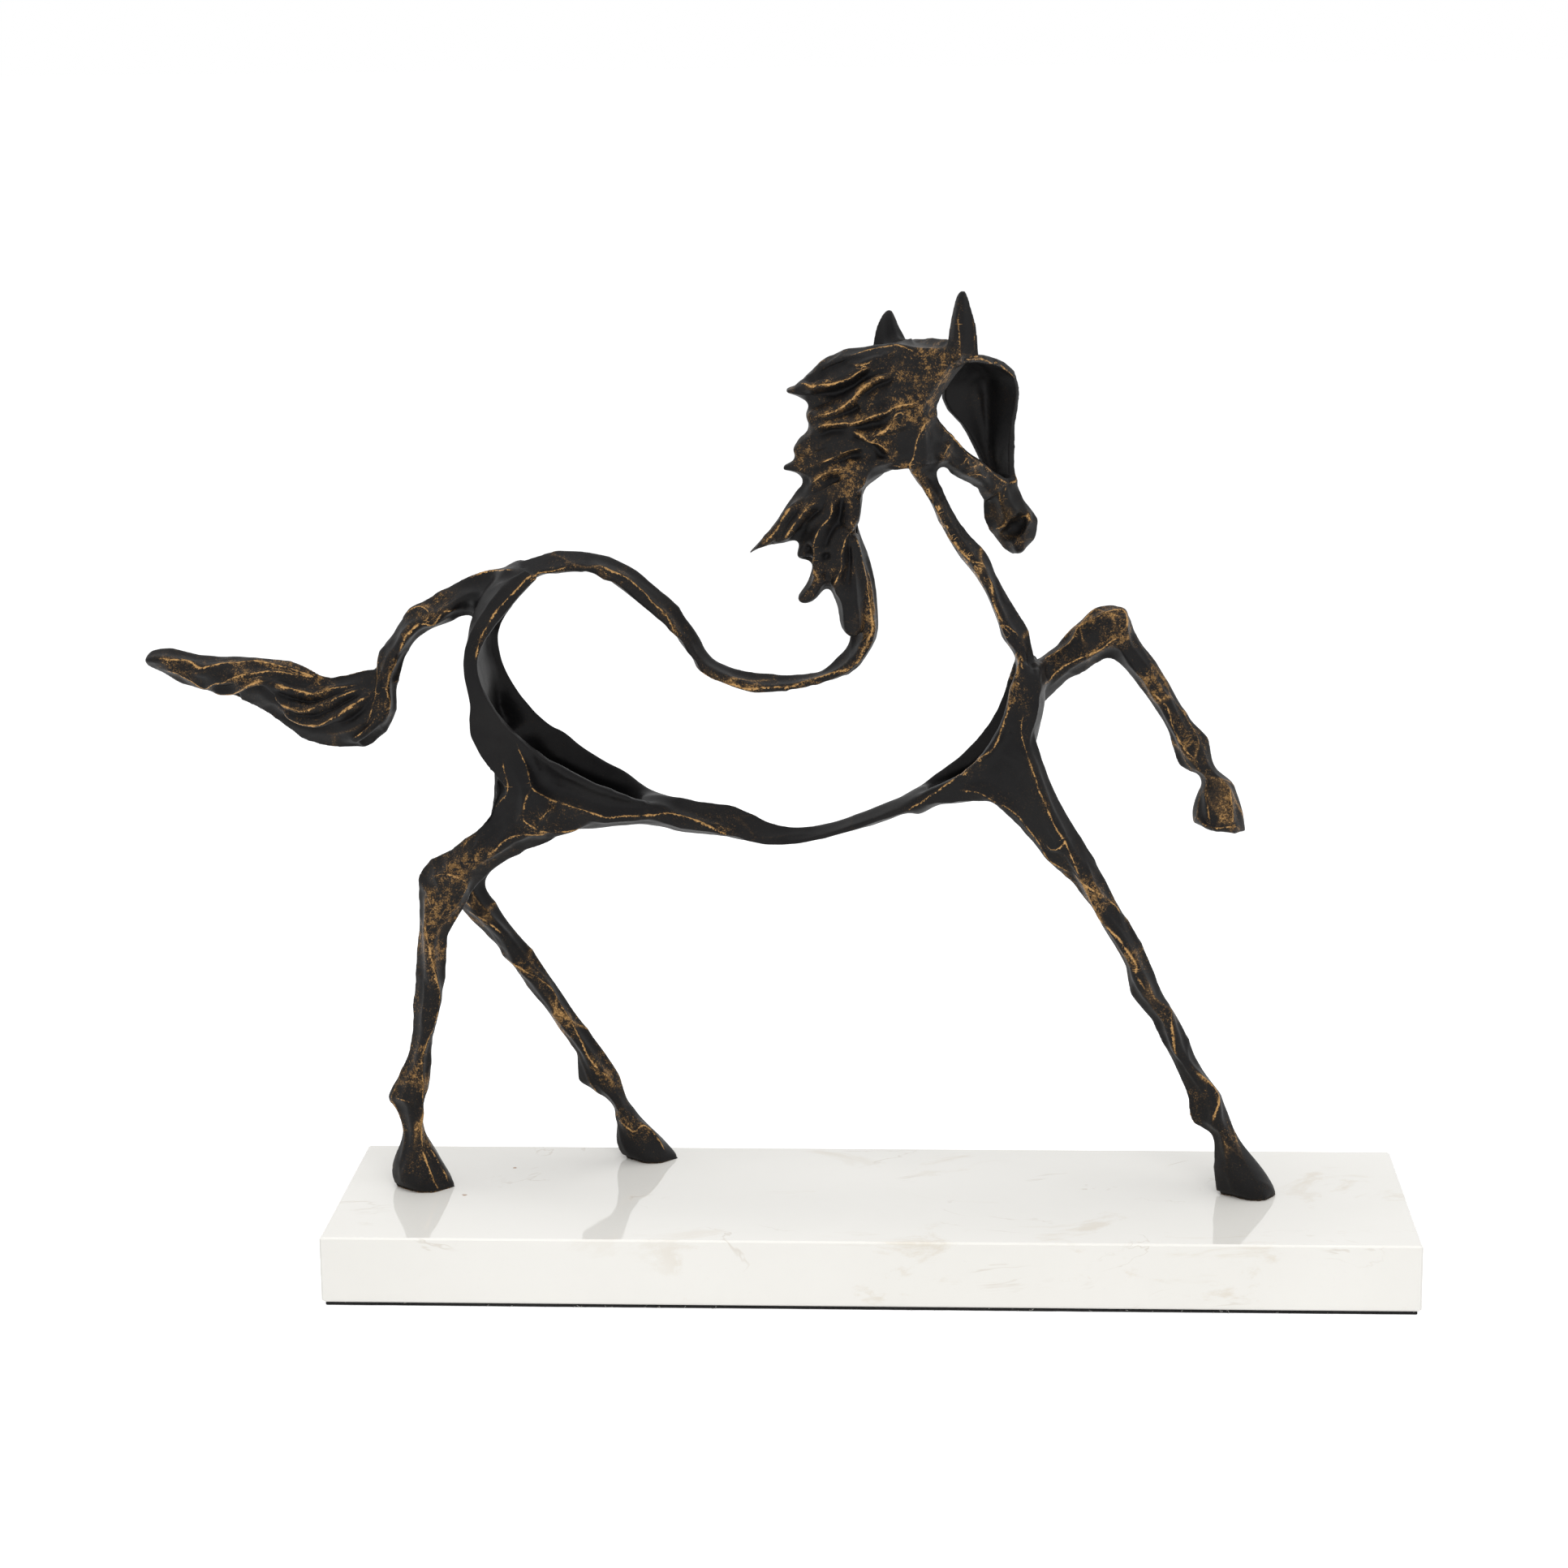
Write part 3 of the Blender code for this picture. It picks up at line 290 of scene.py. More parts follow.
def veined_stone():
    """Polished white stone with warm flecks lying along it, grey clouds and a few specks."""
    s = Surface("veined_stone")
    lain = s.add("ShaderNodeVectorMath", {0: s.place, 1: (0.42, 0.7, 1.0)}, operation="MULTIPLY").outputs[0]
    cloud = s.noise(9.0, 5.0, 0.6)
    fine = s.noise(700.0, 3.0, 0.6)
    fleck = s.span(s.noise(42.0, 6.0, 0.66, lain, 0.7), 0.555, 0.68)
    fleck = s.calc(fleck, s.span(s.noise(13.0, 2.0, 0.5, lain), 0.44, 0.58), "MULTIPLY")
    wave = s.calc(s.calc(s.noise(16.0, 5.0, 0.6, lain, 1.6), -0.5), 0.0, "ABSOLUTE")
    thread = s.calc(s.span(wave, 0.0, 0.012, 1.0, 0.0), s.span(s.noise(24.0, 2.0), 0.54, 0.66), "MULTIPLY")
    pale = s.blend(s.span(cloud, 0.35, 0.7), (0.845, 0.830, 0.788), (0.822, 0.806, 0.762))
    tone = s.blend(s.calc(fleck, 0.55, "MULTIPLY"), pale, (0.67, 0.60, 0.49))
    tone = s.blend(s.calc(thread, 0.5, "MULTIPLY"), tone, (0.62, 0.565, 0.485))
    tone = s.blend(s.span(fine, 0.60, 0.80, 0.0, 0.10), tone, (0.66, 0.62, 0.57))
    for (x, y, z), size in SPECKS:
        away = s.add("ShaderNodeVectorMath", {0: s.place, 1: (x * MM, y * MM, z * MM)}, operation="DISTANCE")
        ragged = s.calc(away.outputs["Value"], s.span(s.noise(900.0), 0.3, 0.7, -0.0004, 0.0004, False))
        dot = s.span(ragged, size * 0.4 * MM, size * MM, 0.85, 0.0)
        tone = s.blend(dot, tone, (0.36, 0.19, 0.075))
    s.fill(s.shader, {"Base Color": tone, "Roughness": s.span(fine, 0.3, 0.8, 0.035, 0.07, False)})
    s.bump(fine, 0.01, 0.0001)
    return s.material


def black_felt():
    """Matted black wool with pale lint."""
    s = Surface("black_felt")
    mat = s.noise(1500.0, 4.0, 0.7)
    lint = s.noise(2600.0, 2.0, 0.5, warp=1.5)
    clump = s.noise(260.0, 3.0, 0.6)
    tone = s.blend(s.span(mat, 0.3, 0.7), (0.0065, 0.0065, 0.007), (0.020, 0.0195, 0.019))
    fleck = s.calc(s.span(lint, 0.69, 0.74), s.span(clump, 0.5, 0.65), "MULTIPLY")
    tone = s.blend(fleck, tone, (0.36, 0.34, 0.32))
    tone = s.blend(s.attribute("lint"), tone, (0.55, 0.53, 0.50))
    s.fill(s.shader, {"Base Color": tone, "Roughness": s.span(mat, 0.2, 0.8, 0.88, 1.0, False),
                      "Specular IOR Level": 0.2, "Sheen Weight": 0.25})
    s.bump(mat, 0.8, 0.0003)
    return s.material


def zinc_steel():
    """Zinc-plated fixing steel, dulled in patches."""
    s = Surface("zinc_steel")
    dull = s.noise(160.0, 4.0, 0.6)
    spangle = s.noise(900.0, 3.0, 0.6)
    tone = s.blend(s.span(dull, 0.35, 0.7), (0.56, 0.57, 0.58), (0.40, 0.40, 0.39))
    tone = s.blend(s.span(spangle, 0.55, 0.75, 0.0, 0.4), tone, (0.66, 0.66, 0.64))
    s.fill(s.shader, {"Base Color": tone, "Metallic": 1.0,
                      "Roughness": s.span(dull, 0.3, 0.7, 0.28, 0.48, False)})
    s.bump(spangle, 0.15, 0.0001)
    return s.material


# Brown specks in the stone: where, and how big
SPECKS = (((-166.0, 32.0, 31.9), 1.3), ((-34.0, -36.0, 31.0), 0.9), ((-184.0, -6.0, 31.9), 1.6))

BRONZE = patinated_bronze()
STONE = veined_stone()
FELT = black_felt()
STEEL = zinc_steel()

# The modeller's marks
# Each casting: the grain (x, z) its scoops run along, how deep they are, how strong the gold is on
# its edges, how much is rubbed over its faces, and how far its skin is built up
MARKS = {
    "haunch": ((0.75, -0.65), 0.12, 0.10, 0.06, -0.1),
    "chest": ((0.6, -0.8), 0.15, 0.35, 0.16, 0.3),
    "back_strap": ((0.9, -0.45), 0.5, 0.45, 0.30, 0.45),
    "neck_crest": ((0.1, 1.0), 0.5, 0.5, 0.45, 0.2),
    "belly_strap": ((1.0, 0.0), 0.25, 0.25, 0.14, 0.35),
    "breast_strap": ((0.45, -0.9), 0.5, 0.5, 0.30, 0.5),
    "tail": ((0.95, 0.3), 0.5, 0.5, 0.32, 0.55),
    "near_hind_leg": ((0.1, 1.0), 0.8, 0.6, 0.95, 0.6),
    "far_hind_leg": ((0.5, -0.85), 0.7, 0.5, 0.75, 0.65),
    "near_foreleg": ((0.45, -0.9), 0.7, 0.6, 0.70, 0.65),
    "far_foreleg": ((0.5, -0.85), 0.6, 0.5, 0.55, 0.5),
    "cheek": ((0.8, 0.6), 0.3, 0.5, 0.85, 0.2),
    "muzzle": ((0.4, -0.9), 0.35, 0.7, 0.45, 0.45),
    "jaw": ((0.7, -0.7), 0.4, 0.7, 0.50, 0.55),
    "face": ((0.3, -1.0), 0.15, 0.5, 0.22, 0.2),
    "near_ear": ((0.0, 1.0), 0.15, 0.15, 0.40, 0.4),
    "far_ear": ((0.0, 1.0), 0.15, 0.12, 0.05, 0.1),
    "mane": ((0.9, 0.45), 0.25, 0.45, 0.58, 0.2),
}

# Lines the modeller left on the viewer's side, read off the photograph in pixels along each line.
# A fold has a ridge with a groove under it, a ridge stands up evenly, a rim only takes gold, a
# plain ridge takes none, a trace is a touch of gold and a groove is pressed in.
LINES = {
    "fold": [
        [(260, 849), (287, 851), (308, 843), (328, 840)],
        [(334, 842), (349, 848), (372, 855), (390, 858), (408, 852), (425, 848), (440, 845)],
        [(341, 863), (355, 870), (372, 876), (390, 874), (408, 866), (425, 858), (443, 851)],
        [(346, 874), (361, 883), (378, 890), (399, 889), (419, 880), (440, 868), (455, 858)],
        [(431, 913), (449, 902), (461, 888)],
        [(1001, 515), (1014, 512), (1028, 507), (1040, 500), (1050, 492), (1060, 484), (1072, 475),
         (1083, 468), (1095, 463)],
        [(1003, 532), (1010, 527), (1025, 523), (1040, 521), (1053, 521), (1068, 516), (1080, 511),
         (1092, 507), (1100, 502), (1108, 499), (1120, 498), (1133, 497)],
        [(1048, 528), (1058, 534), (1068, 539), (1080, 543), (1088, 548), (1095, 554), (1105, 558)],
        [(1006, 571), (1018, 567), (1030, 560), (1042, 553), (1055, 550), (1068, 552)],
        [(985, 474), (1000, 476), (1016, 475), (1030, 473), (1046, 466), (1060, 457), (1076, 451)],
        [(998, 599), (1015, 584), (1030, 577), (1042, 578)],
        [(964, 667), (979, 648), (993, 629), (1008, 616)],
        [(938, 672), (958, 654), (974, 629), (982, 621)],
        [(1007, 716), (1007, 689), (1005, 669), (1014, 648), (1023, 633), (1026, 610)],
        [(1030, 728), (1035, 698), (1038, 675), (1042, 657), (1049, 642), (1052, 630)],
    ],
    "ridge": [
        [(193, 811), (216, 814), (231, 817), (249, 824), (275, 821), (308, 817), (322, 818), (349, 824),
         (372, 830), (393, 836)],
        [(199, 824), (219, 827), (234, 835), (252, 845), (263, 841), (287, 835), (311, 832), (337, 830),
         (366, 833), (393, 836)],
        [(468, 805), (466, 829), (465, 852), (459, 873), (450, 893)],
        [(490, 807), (476, 840), (478, 864), (475, 885)],
        [(490, 807), (501, 783), (518, 768), (532, 768), (547, 753), (568, 749)],
        [(500, 759), (518, 749), (529, 758), (518, 768)],
        [(518, 736), (535, 730), (550, 733)],
        [(568, 714), (585, 711), (600, 706), (635, 703)],
        [(635, 912), (644, 936), (650, 953), (654, 970), (668, 981), (688, 989), (712, 996), (735, 1003),
         (750, 1008), (773, 1006), (812, 1003), (835, 1006), (862, 1014), (898, 1028)],
        [(654, 971), (646, 989), (644, 1009), (656, 1018), (671, 1024), (694, 1024), (718, 1018)],
        [(688, 990), (673, 1001), (662, 1015)],
        [(619, 936), (625, 959), (625, 977), (618, 986), (606, 998)],
        [(676, 1027), (647, 1028), (626, 1033), (612, 1045), (603, 1052)],
        [(553, 1059), (551, 1077)],
        [(532, 1083), (551, 1077), (571, 1083), (569, 1098), (559, 1118)],
        [(518, 1083), (528, 1103), (532, 1120)],
        [(742, 709), (753, 717), (771, 730), (788, 745), (806, 762), (823, 780), (838, 801), (853, 817),
         (868, 827), (882, 834), (910, 844), (937, 848), (975, 845), (1000, 840)],
        [(735, 697), (750, 705), (771, 715), (788, 726), (809, 749), (823, 765), (832, 781)],
        [(1051, 657), (1057, 683), (1064, 713), (1070, 742), (1073, 766), (1070, 786), (1061, 804),
         (1049, 819), (1035, 826), (1008, 836), (973, 847)],
        [(1065, 700), (1072, 730), (1076, 763)],
        [(1153, 512), (1145, 516), (1137, 524), (1132, 535), (1128, 546), (1126, 556), (1124, 565),
         (1122, 573), (1130, 583), (1138, 593), (1146, 607), (1154, 620)],
        [(1176, 543), (1170, 548), (1164, 556), (1160, 566), (1155, 573)],
        [(1072, 539), (1083, 533), (1093, 527), (1098, 520), (1102, 512), (1110, 509), (1120, 514)],
        [(1102, 516), (1107, 523), (1116, 522), (1121, 515)],
        [(1048, 446), (1055, 449), (1062, 450), (1070, 447), (1078, 441)],
        [(1070, 451), (1076, 456), (1090, 453), (1097, 452)],
        [(1005, 453), (1011, 448), (1018, 441)],
        [(1178, 573), (1186, 571), (1190, 565), (1194, 575), (1205, 573), (1213, 580)],
        [(1193, 584), (1205, 585), (1213, 589), (1217, 582)],
        [(1243, 595), (1238, 603), (1236, 612), (1237, 622)],
        [(1230, 600), (1232, 612), (1236, 622)],
        [(1140, 583), (1150, 581)],
        [(995, 560), (1003, 567)],
        [(1155, 514), (1161, 529), (1175, 542), (1190, 560), (1205, 571), (1220, 582), (1232, 591),
         (1242, 595), (1250, 591), (1248, 580)],
        [(1237, 632), (1239, 641), (1236, 648), (1228, 652), (1219, 653)],
        [(1239, 632), (1246, 634), (1251, 640)],
        [(1254, 639), (1261, 635), (1267, 636), (1270, 641), (1278, 641)],
        [(1256, 678), (1262, 677)],
        [(1165, 652), (1180, 671), (1194, 688), (1209, 697), (1216, 707)],
        [(1216, 707), (1222, 730), (1228, 748), (1238, 770)],
        [(1260, 877), (1260, 907), (1267, 933), (1277, 960), (1287, 990), (1300, 1017), (1313, 1040),
         (1330, 1075), (1347, 1112), (1359, 1133), (1382, 1161), (1399, 1188), (1401, 1202),
         (1415, 1226)],
        [(1182, 972), (1205, 976), (1231, 987), (1254, 1002), (1268, 1018), (1281, 1037), (1292, 1056),
         (1319, 1075)],
        [(1310, 1034), (1309, 1041), (1302, 1046), (1294, 1044), (1286, 1034)],
        [(1317, 1077), (1305, 1089)],
        [(1322, 1074), (1346, 1096), (1366, 1111), (1383, 1130)],
        [(1439, 1240), (1444, 1265), (1448, 1289), (1453, 1303)],
        [(1470, 1318), (1496, 1344), (1500, 1358), (1494, 1386)],
        [(1280, 820), (1317, 793), (1330, 775), (1353, 762), (1377, 753), (1385, 757), (1387, 783)],
        [(1283, 848), (1300, 828), (1323, 813), (1353, 800), (1373, 788), (1387, 783)],
        [(1417, 850), (1437, 870), (1445, 893), (1460, 922), (1467, 930), (1480, 942)],
        [(1487, 968), (1492, 1020)],
        [(1512, 967), (1520, 1018)],
        [(1487, 968), (1512, 967)],
        [(1477, 1013), (1497, 1019), (1520, 1018), (1535, 1025)],
        [(525, 1100), (527, 1146), (533, 1188), (539, 1227), (531, 1265), (520, 1304), (520, 1342),
         (518, 1381), (520, 1415), (533, 1454), (543, 1465)],
        [(483, 1350), (510, 1360)],
        [(523, 1408), (554, 1458)],
        [(575, 1119), (596, 1131), (621, 1152)],
        [(621, 1177), (645, 1194), (673, 1215), (691, 1242), (710, 1273), (725, 1300), (739, 1319),
         (756, 1331)],
        [(762, 1377), (779, 1394), (793, 1388), (821, 1419)],
    ],
    "rim": [
        [(585, 815), (591, 789), (603, 765), (618, 745), (635, 727), (656, 709), (671, 705), (703, 698)],
        [(1045, 438), (1055, 436), (1075, 431), (1088, 428), (1103, 426), (1113, 428), (1122, 431),
         (1131, 435)],
        [(977, 557), (985, 562)],
        [(1095, 571), (1110, 573), (1120, 574)],
        [(1180, 453), (1165, 469), (1156, 484), (1155, 496)],
        [(1189, 445), (1195, 442), (1215, 442), (1236, 453), (1254, 470)],
        [(1253, 800), (1252, 821), (1247, 843), (1245, 867), (1237, 890), (1229, 912), (1218, 927),
         (1194, 942), (1176, 960), (1160, 972), (1140, 984), (1112, 1001)],
        [(1232, 767), (1249, 778), (1256, 786)],
        [(1120, 579), (1148, 619), (1167, 660), (1199, 701), (1220, 744), (1243, 800)],
        [(588, 1024), (576, 1039), (567, 1051)],
    ],
    "plain": [
        [(676, 939), (706, 956), (735, 970), (765, 977), (782, 984)],
        [(1204, 479), (1210, 517), (1217, 552)],
        [(1229, 924), (1246, 930), (1265, 940)],
    ],
    "trace": [
        [(1184, 378), (1181, 396), (1182, 428), (1185, 443), (1183, 453)],
        [(1198, 388), (1200, 410), (1200, 436)],
    ],
    "groove": [
        [(1002, 466), (1020, 455), (1035, 446), (1050, 440)],
        [(1060, 491), (1075, 479), (1095, 469), (1108, 465)],
        [(1056, 526), (1070, 523), (1085, 521), (1094, 520)],
        [(1001, 541), (1015, 534), (1030, 530), (1046, 530)],
        [(1268, 800), (1272, 815), (1277, 832)],
        [(300, 853), (320, 850), (345, 868)],
    ],
}

# Kinds that are moved to the foremost edge close by, and how strong the gold is on each kind
SNAPPED = [list(LINES).index(kind) for kind in ("rim", "plain")]
GOLD = (1.0, 1.0, 1.0, 0.0, 0.6, 0.0)

# Places where most gold dust was rubbed on: pixel, how far round, how much
RUBBED = (
    (1135, 470, 13, 0.95), (1112, 456, 9, 0.6), (1122, 514, 6, 0.85), (1113, 500, 6, 0.7),
    (1163, 468, 5, 0.6), (1168, 555, 4, 0.9), (1243, 640, 3.5, 0.55), (1045, 560, 8, 0.5),
    (1045, 590, 9, 0.7), (1055, 625, 8, 0.55), (1085, 472, 9, 0.45), (1030, 442, 9, 0.3),
    (1205, 580, 6, 0.5), (1232, 560, 8, 0.6), (1225, 500, 10, 0.4), (205, 822, 12, 0.75),
    (235, 832, 9, 0.65), (300, 825, 10, 0.4), (400, 845, 8, 0.45), (528, 750, 9, 0.75),
    (545, 735, 7, 0.5), (480, 830, 7, 0.45), (475, 880, 6, 0.45), (655, 1010, 8, 0.55),
    (690, 1000, 9, 0.4), (555, 1075, 9, 0.6), (530, 1110, 10, 0.5), (600, 1045, 9, 0.45),
    (532, 1160, 9, 0.7), (532, 1200, 9, 0.9), (528, 1250, 8, 0.8), (524, 1295, 8, 0.8),
    (518, 1335, 8, 0.8), (525, 1400, 9, 0.6), (540, 1450, 7, 0.2), (650, 1200, 9, 0.45),
    (700, 1260, 9, 0.45), (745, 1325, 7, 0.6), (790, 1390, 8, 0.5), (1310, 1080, 9, 0.55),
    (1345, 1110, 9, 0.6), (1390, 1180, 9, 0.55), (1440, 1260, 8, 0.55), (1495, 1350, 8, 0.55),
    (1310, 820, 9, 0.6), (1350, 790, 8, 0.45), (1385, 765, 7, 0.5), (1425, 840, 9, 0.5),
    (1455, 915, 7, 0.65), (1500, 990, 7, 0.5), (760, 715, 9, 0.4), (830, 770, 9, 0.4),
    (870, 835, 9, 0.45), (930, 850, 10, 0.5), (1000, 838, 10, 0.5), (1065, 760, 8, 0.5),
    (1050, 810, 8, 0.5), (1245, 858, 7, 1.4), (1248, 830, 6, 1.0), (1240, 1000, 12, 0.4),
    (1290, 1060, 10, 0.5), (1250, 800, 6, 0.5), (1200, 945, 8, 0.4), (880, 1015, 10, 0.4),
    (960, 1010, 10, 0.3), (1050, 1005, 10, 0.35),
)

# Where the modeller pushed the clay: spot, reach and move
PUSHES = (
    ((-140.0, 51.0, 233.0), 6.5, (0.0, 0.0, 1.8)), ((-111.0, 42.0, 216.0), 9.0, (0.0, 0.0, 1.6)),
    ((-92.0, 25.0, 207.0), 9.0, (0.0, 0.0, 1.5)), ((-104.0, 24.0, 214.0), 6.5, (0.0, 0.0, -3.0)),
    ((-133.0, 0.0, 203.0), 9.0, (0.0, 0.0, -2.6)), ((58.0, 0.0, 215.0), 11.0, (0.0, 0.0, -4.5)),
    ((-181.0, 30.0, 236.0), 15.0, (2.6, 0.0, 0.0)), ((-184.0, 25.0, 262.0), 14.0, (1.4, 0.0, 0.0)),
    ((-83.0, 25.0, 295.0), 10.0, (1.2, 0.0, 1.2)), ((-88.0, 25.0, 302.0), 9.0, (0.7, 0.0, 0.7)),
    ((-76.0, 25.0, 286.0), 10.0, (1.7, 0.0, 1.7)), ((-186.0, 27.0, 313.0), 9.0, (-1.0, 0.0, 3.0)),
    ((-197.0, 26.0, 308.0), 8.0, (-1.2, 0.0, 1.8)), ((-181.0, 24.0, 294.0), 8.0, (0.0, 0.0, -3.0)),
    ((-191.0, 24.0, 296.0), 8.0, (0.0, 0.0, -2.4)), ((44.0, 25.0, 257.0), 12.0, (-3.6, 0.0, 1.4)),
    ((24.0, 25.0, 232.0), 11.0, (1.0, 0.0, -1.6)), ((66.5, 46.5, 325.5), 4.0, (0.4, 2.6, 0.0)),
)

# Castings that end in a hoof
HOOFED = ("near_hind_leg", "far_hind_leg", "near_foreleg", "far_foreleg")

# Weld metal filling the notch under the flank: middle and radius
FILLETS = (((-133.0, 0.5, 204.8), 4.6),)

# Where a casting's end is worked into the next one, how far round, and whether the nook is filled
BLENDS = (
    ((-102.0, 30.0, 211.0), 15.0, True), ((21.0, 25.0, 208.0), 12.0, False),
    ((70.0, 20.0, 274.0), 11.0, True), ((-133.0, -2.0, 201.0), 11.0, True),
    ((75.0, 38.0, 264.0), 9.0, True), ((57.0, 0.0, 214.0), 14.0, True),
    ((-168.0, 51.0, 257.0), 13.0, True), ((-157.0, 51.0, 240.0), 13.0, True),
    ((-91.0, 17.0, 207.0), 9.0, True),
)


# Number fields
def scramble(ix, iy, iz, seed):
    """Even random number in 0 to 1 for each lattice point."""
    n = ix * 73856093 ^ iy * 19349663 ^ iz * 83492791 ^ seed * 26544357
    n = (n ^ (n >> 13)) * 1274126177 & 0xFFFFFFFF
    n = (n ^ (n >> 15)) * 461845907 & 0xFFFFFFFF
    return ((n ^ (n >> 16)) & 0xFFFF) / 65536.0


def swell(points, size, seed):
    """Smooth noise from -1 to 1 with hills about as wide as size."""
    q = points / size
    base = np.floor(q).astype(np.int64)
    f = q - base
    f = f * f * (3 - 2 * f)
    total = np.zeros(len(points))
    for corner in range(8):
        bit = np.array([corner & 1, corner >> 1 & 1, corner >> 2 & 1])
        weight = np.prod(np.where(bit, f, 1 - f), axis=1)
        total += weight * scramble(*(base + bit).T, seed)
    return total * 2 - 1


def cell_edge(points, seed):
    """Distance to the nearest border between scattered cells about one unit wide."""
    base = np.floor(points).astype(np.int64)
    first = np.full(len(points), 9.0)
    second = np.full(len(points), 9.0)
    for step in np.ndindex(3, 3, 3):
        cell = base + np.array(step) - 1
        spot = np.stack([scramble(*cell.T, seed + k) for k in range(3)], 1) + cell
        away = np.sqrt(((points - spot) ** 2).sum(1))
        nearer = away < first
        second = np.where(nearer, first, np.minimum(second, away))
        first = np.where(nearer, away, first)
    return (second - first) / 2


def ease(low, high, value):
    """0 up to low, 1 from high, and a smooth step between; low may be the larger."""
    t = np.clip((value - low) / (high - low), 0, 1)
    return t * t * (3 - 2 * t)


def bell(distance, width, power=2):
    """1 in the middle, falling off smoothly over the width."""
    return np.exp(-(distance / width) ** power)


# The cast skin
def welded(node):
    """Points in millimetres and triangles of a node, its loose triangles merged."""
    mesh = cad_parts[node].data
    mesh.calc_loop_triangles()
    points = values(mesh.vertices, "co", 3)
    corners = values(mesh.loop_triangles, "vertices", 3, np.int32)
    points, back = np.unique(np.round(points.reshape(-1, 3) / MM, 3), axis=0, return_inverse=True)
    triangles = back.reshape(-1)[corners].reshape(-1, 3)
    whole = (triangles[:, 0] != triangles[:, 1]) & (triangles[:, 1] != triangles[:, 2])
    return points, triangles[whole & (triangles[:, 0] != triangles[:, 2])]


def outward(points, faces):
    """Unit normal at every point, weighted by the area of its faces."""
    across = np.cross(points[faces[:, 2]] - points[faces[:, 0]], points[faces[:, -1]] - points[faces[:, 1]])
    total = np.zeros_like(points)
    for k in range(faces.shape[1]):
        for axis in range(3):
            total[:, axis] += np.bincount(faces[:, k], across[:, axis], len(points))
    return total / np.maximum(np.linalg.norm(total, axis=1), 1e-12)[:, None]


class Ties:
    """Neighbours on the skin, for averaging values along it."""

    def __init__(self, faces, count):
        pairs = np.concatenate([faces[:, [k, (k + 1) % 4]] for k in range(4)]).astype(np.int64)
        pairs.sort(axis=1)
        self.a, self.b = np.divmod(np.unique(pairs[:, 0] * count + pairs[:, 1]), count)
        self.count = count
        self.degree = np.maximum(np.bincount(self.a, None, count) + np.bincount(self.b, None, count), 1)

    def mean(self, v):
        if v.ndim == 1:
            total = np.bincount(self.a, v[self.b], self.count) + np.bincount(self.b, v[self.a], self.count)
            return total / self.degree
        return np.stack([self.mean(v[:, k]) for k in range(v.shape[1])], 1)

    def soften(self, v, rounds, share=0.5):
        for _ in range(rounds):
            v = v + share * (self.mean(v) - v)
        return v

    def melt(self, v, rounds):
        """Round off facets without shrinking what they belong to."""
        soft = self.soften(v, rounds)
        return 2 * soft - self.soften(soft, rounds)


def gathered(parts):
    """The points and triangles of several parts as one list each."""
    starts = np.cumsum([0] + [len(points) for points, _ in parts])
    return (np.concatenate([points for points, _ in parts]),
            np.concatenate([triangles + start for (_, triangles), start in zip(parts, starts)]))


def one_skin(names):
    """Every casting in one even mesh of small quads, closed over the welds."""
    parts = []
    for points, triangles in map(welded, names):
        parts.append((points + outward(points, triangles) * WELD_FILL, triangles))
    for middle, radius in FILLETS:
        ball = bmesh.new()
        bmesh.ops.create_icosphere(ball, subdivisions=3, radius=radius + WELD_FILL)
        parts.append((np.array([v.co for v in ball.verts]) + np.array(middle),
                      np.array([[v.index for v in f.verts] for f in ball.faces])))
        ball.free()
    points, triangles = gathered(parts)
    mesh = bpy.data.meshes.new("skin")
    mesh.from_pydata(points * MM, [], triangles.tolist())
    raw = placed("skin", mesh)
    even = raw.modifiers.new("even", "REMESH")
    even.mode = "VOXEL"
    even.voxel_size = SKIN_VOXEL * MM
    done = evaluated(raw)
    bpy.data.objects.remove(raw)
    return (values(done.vertices, "co", 3).reshape(-1, 3) / MM,
            values(done.loops, "vertex_index", 1, np.int32).reshape(-1, 4))


def owners(points, faces, names):
    """Which casting each small face belongs to."""
    parts = [welded(name) for name in names]
    whose = np.repeat(np.arange(len(names)), [len(triangles) for _, triangles in parts])
    tree = BVHTree.FromPolygons(*(rows.tolist() for rows in gathered(parts)))
    middles = points[faces].mean(axis=1)
    return whose[[tree.find_nearest(Vector(m))[2] for m in middles]]


def smooth_line(line):
    """Even steps along a smooth curve through the points of a line."""
    knots = np.array([line[0]] + line + [line[-1]], dtype=float)
    steps = []
    for a, b, c, d in zip(knots, knots[1:], knots[2:], knots[3:]):
        count = max(2, int(np.hypot(*(c - b)) / 1.2))
        for t in np.arange(count) / count:
            steps.append(0.5 * (2 * b + (c - a) * t + (2 * a - 5 * b + 4 * c - d) * t ** 2
                                + (3 * b - a - 3 * c + d) * t ** 3))
    steps.append(knots[-1])
    return np.array(steps)


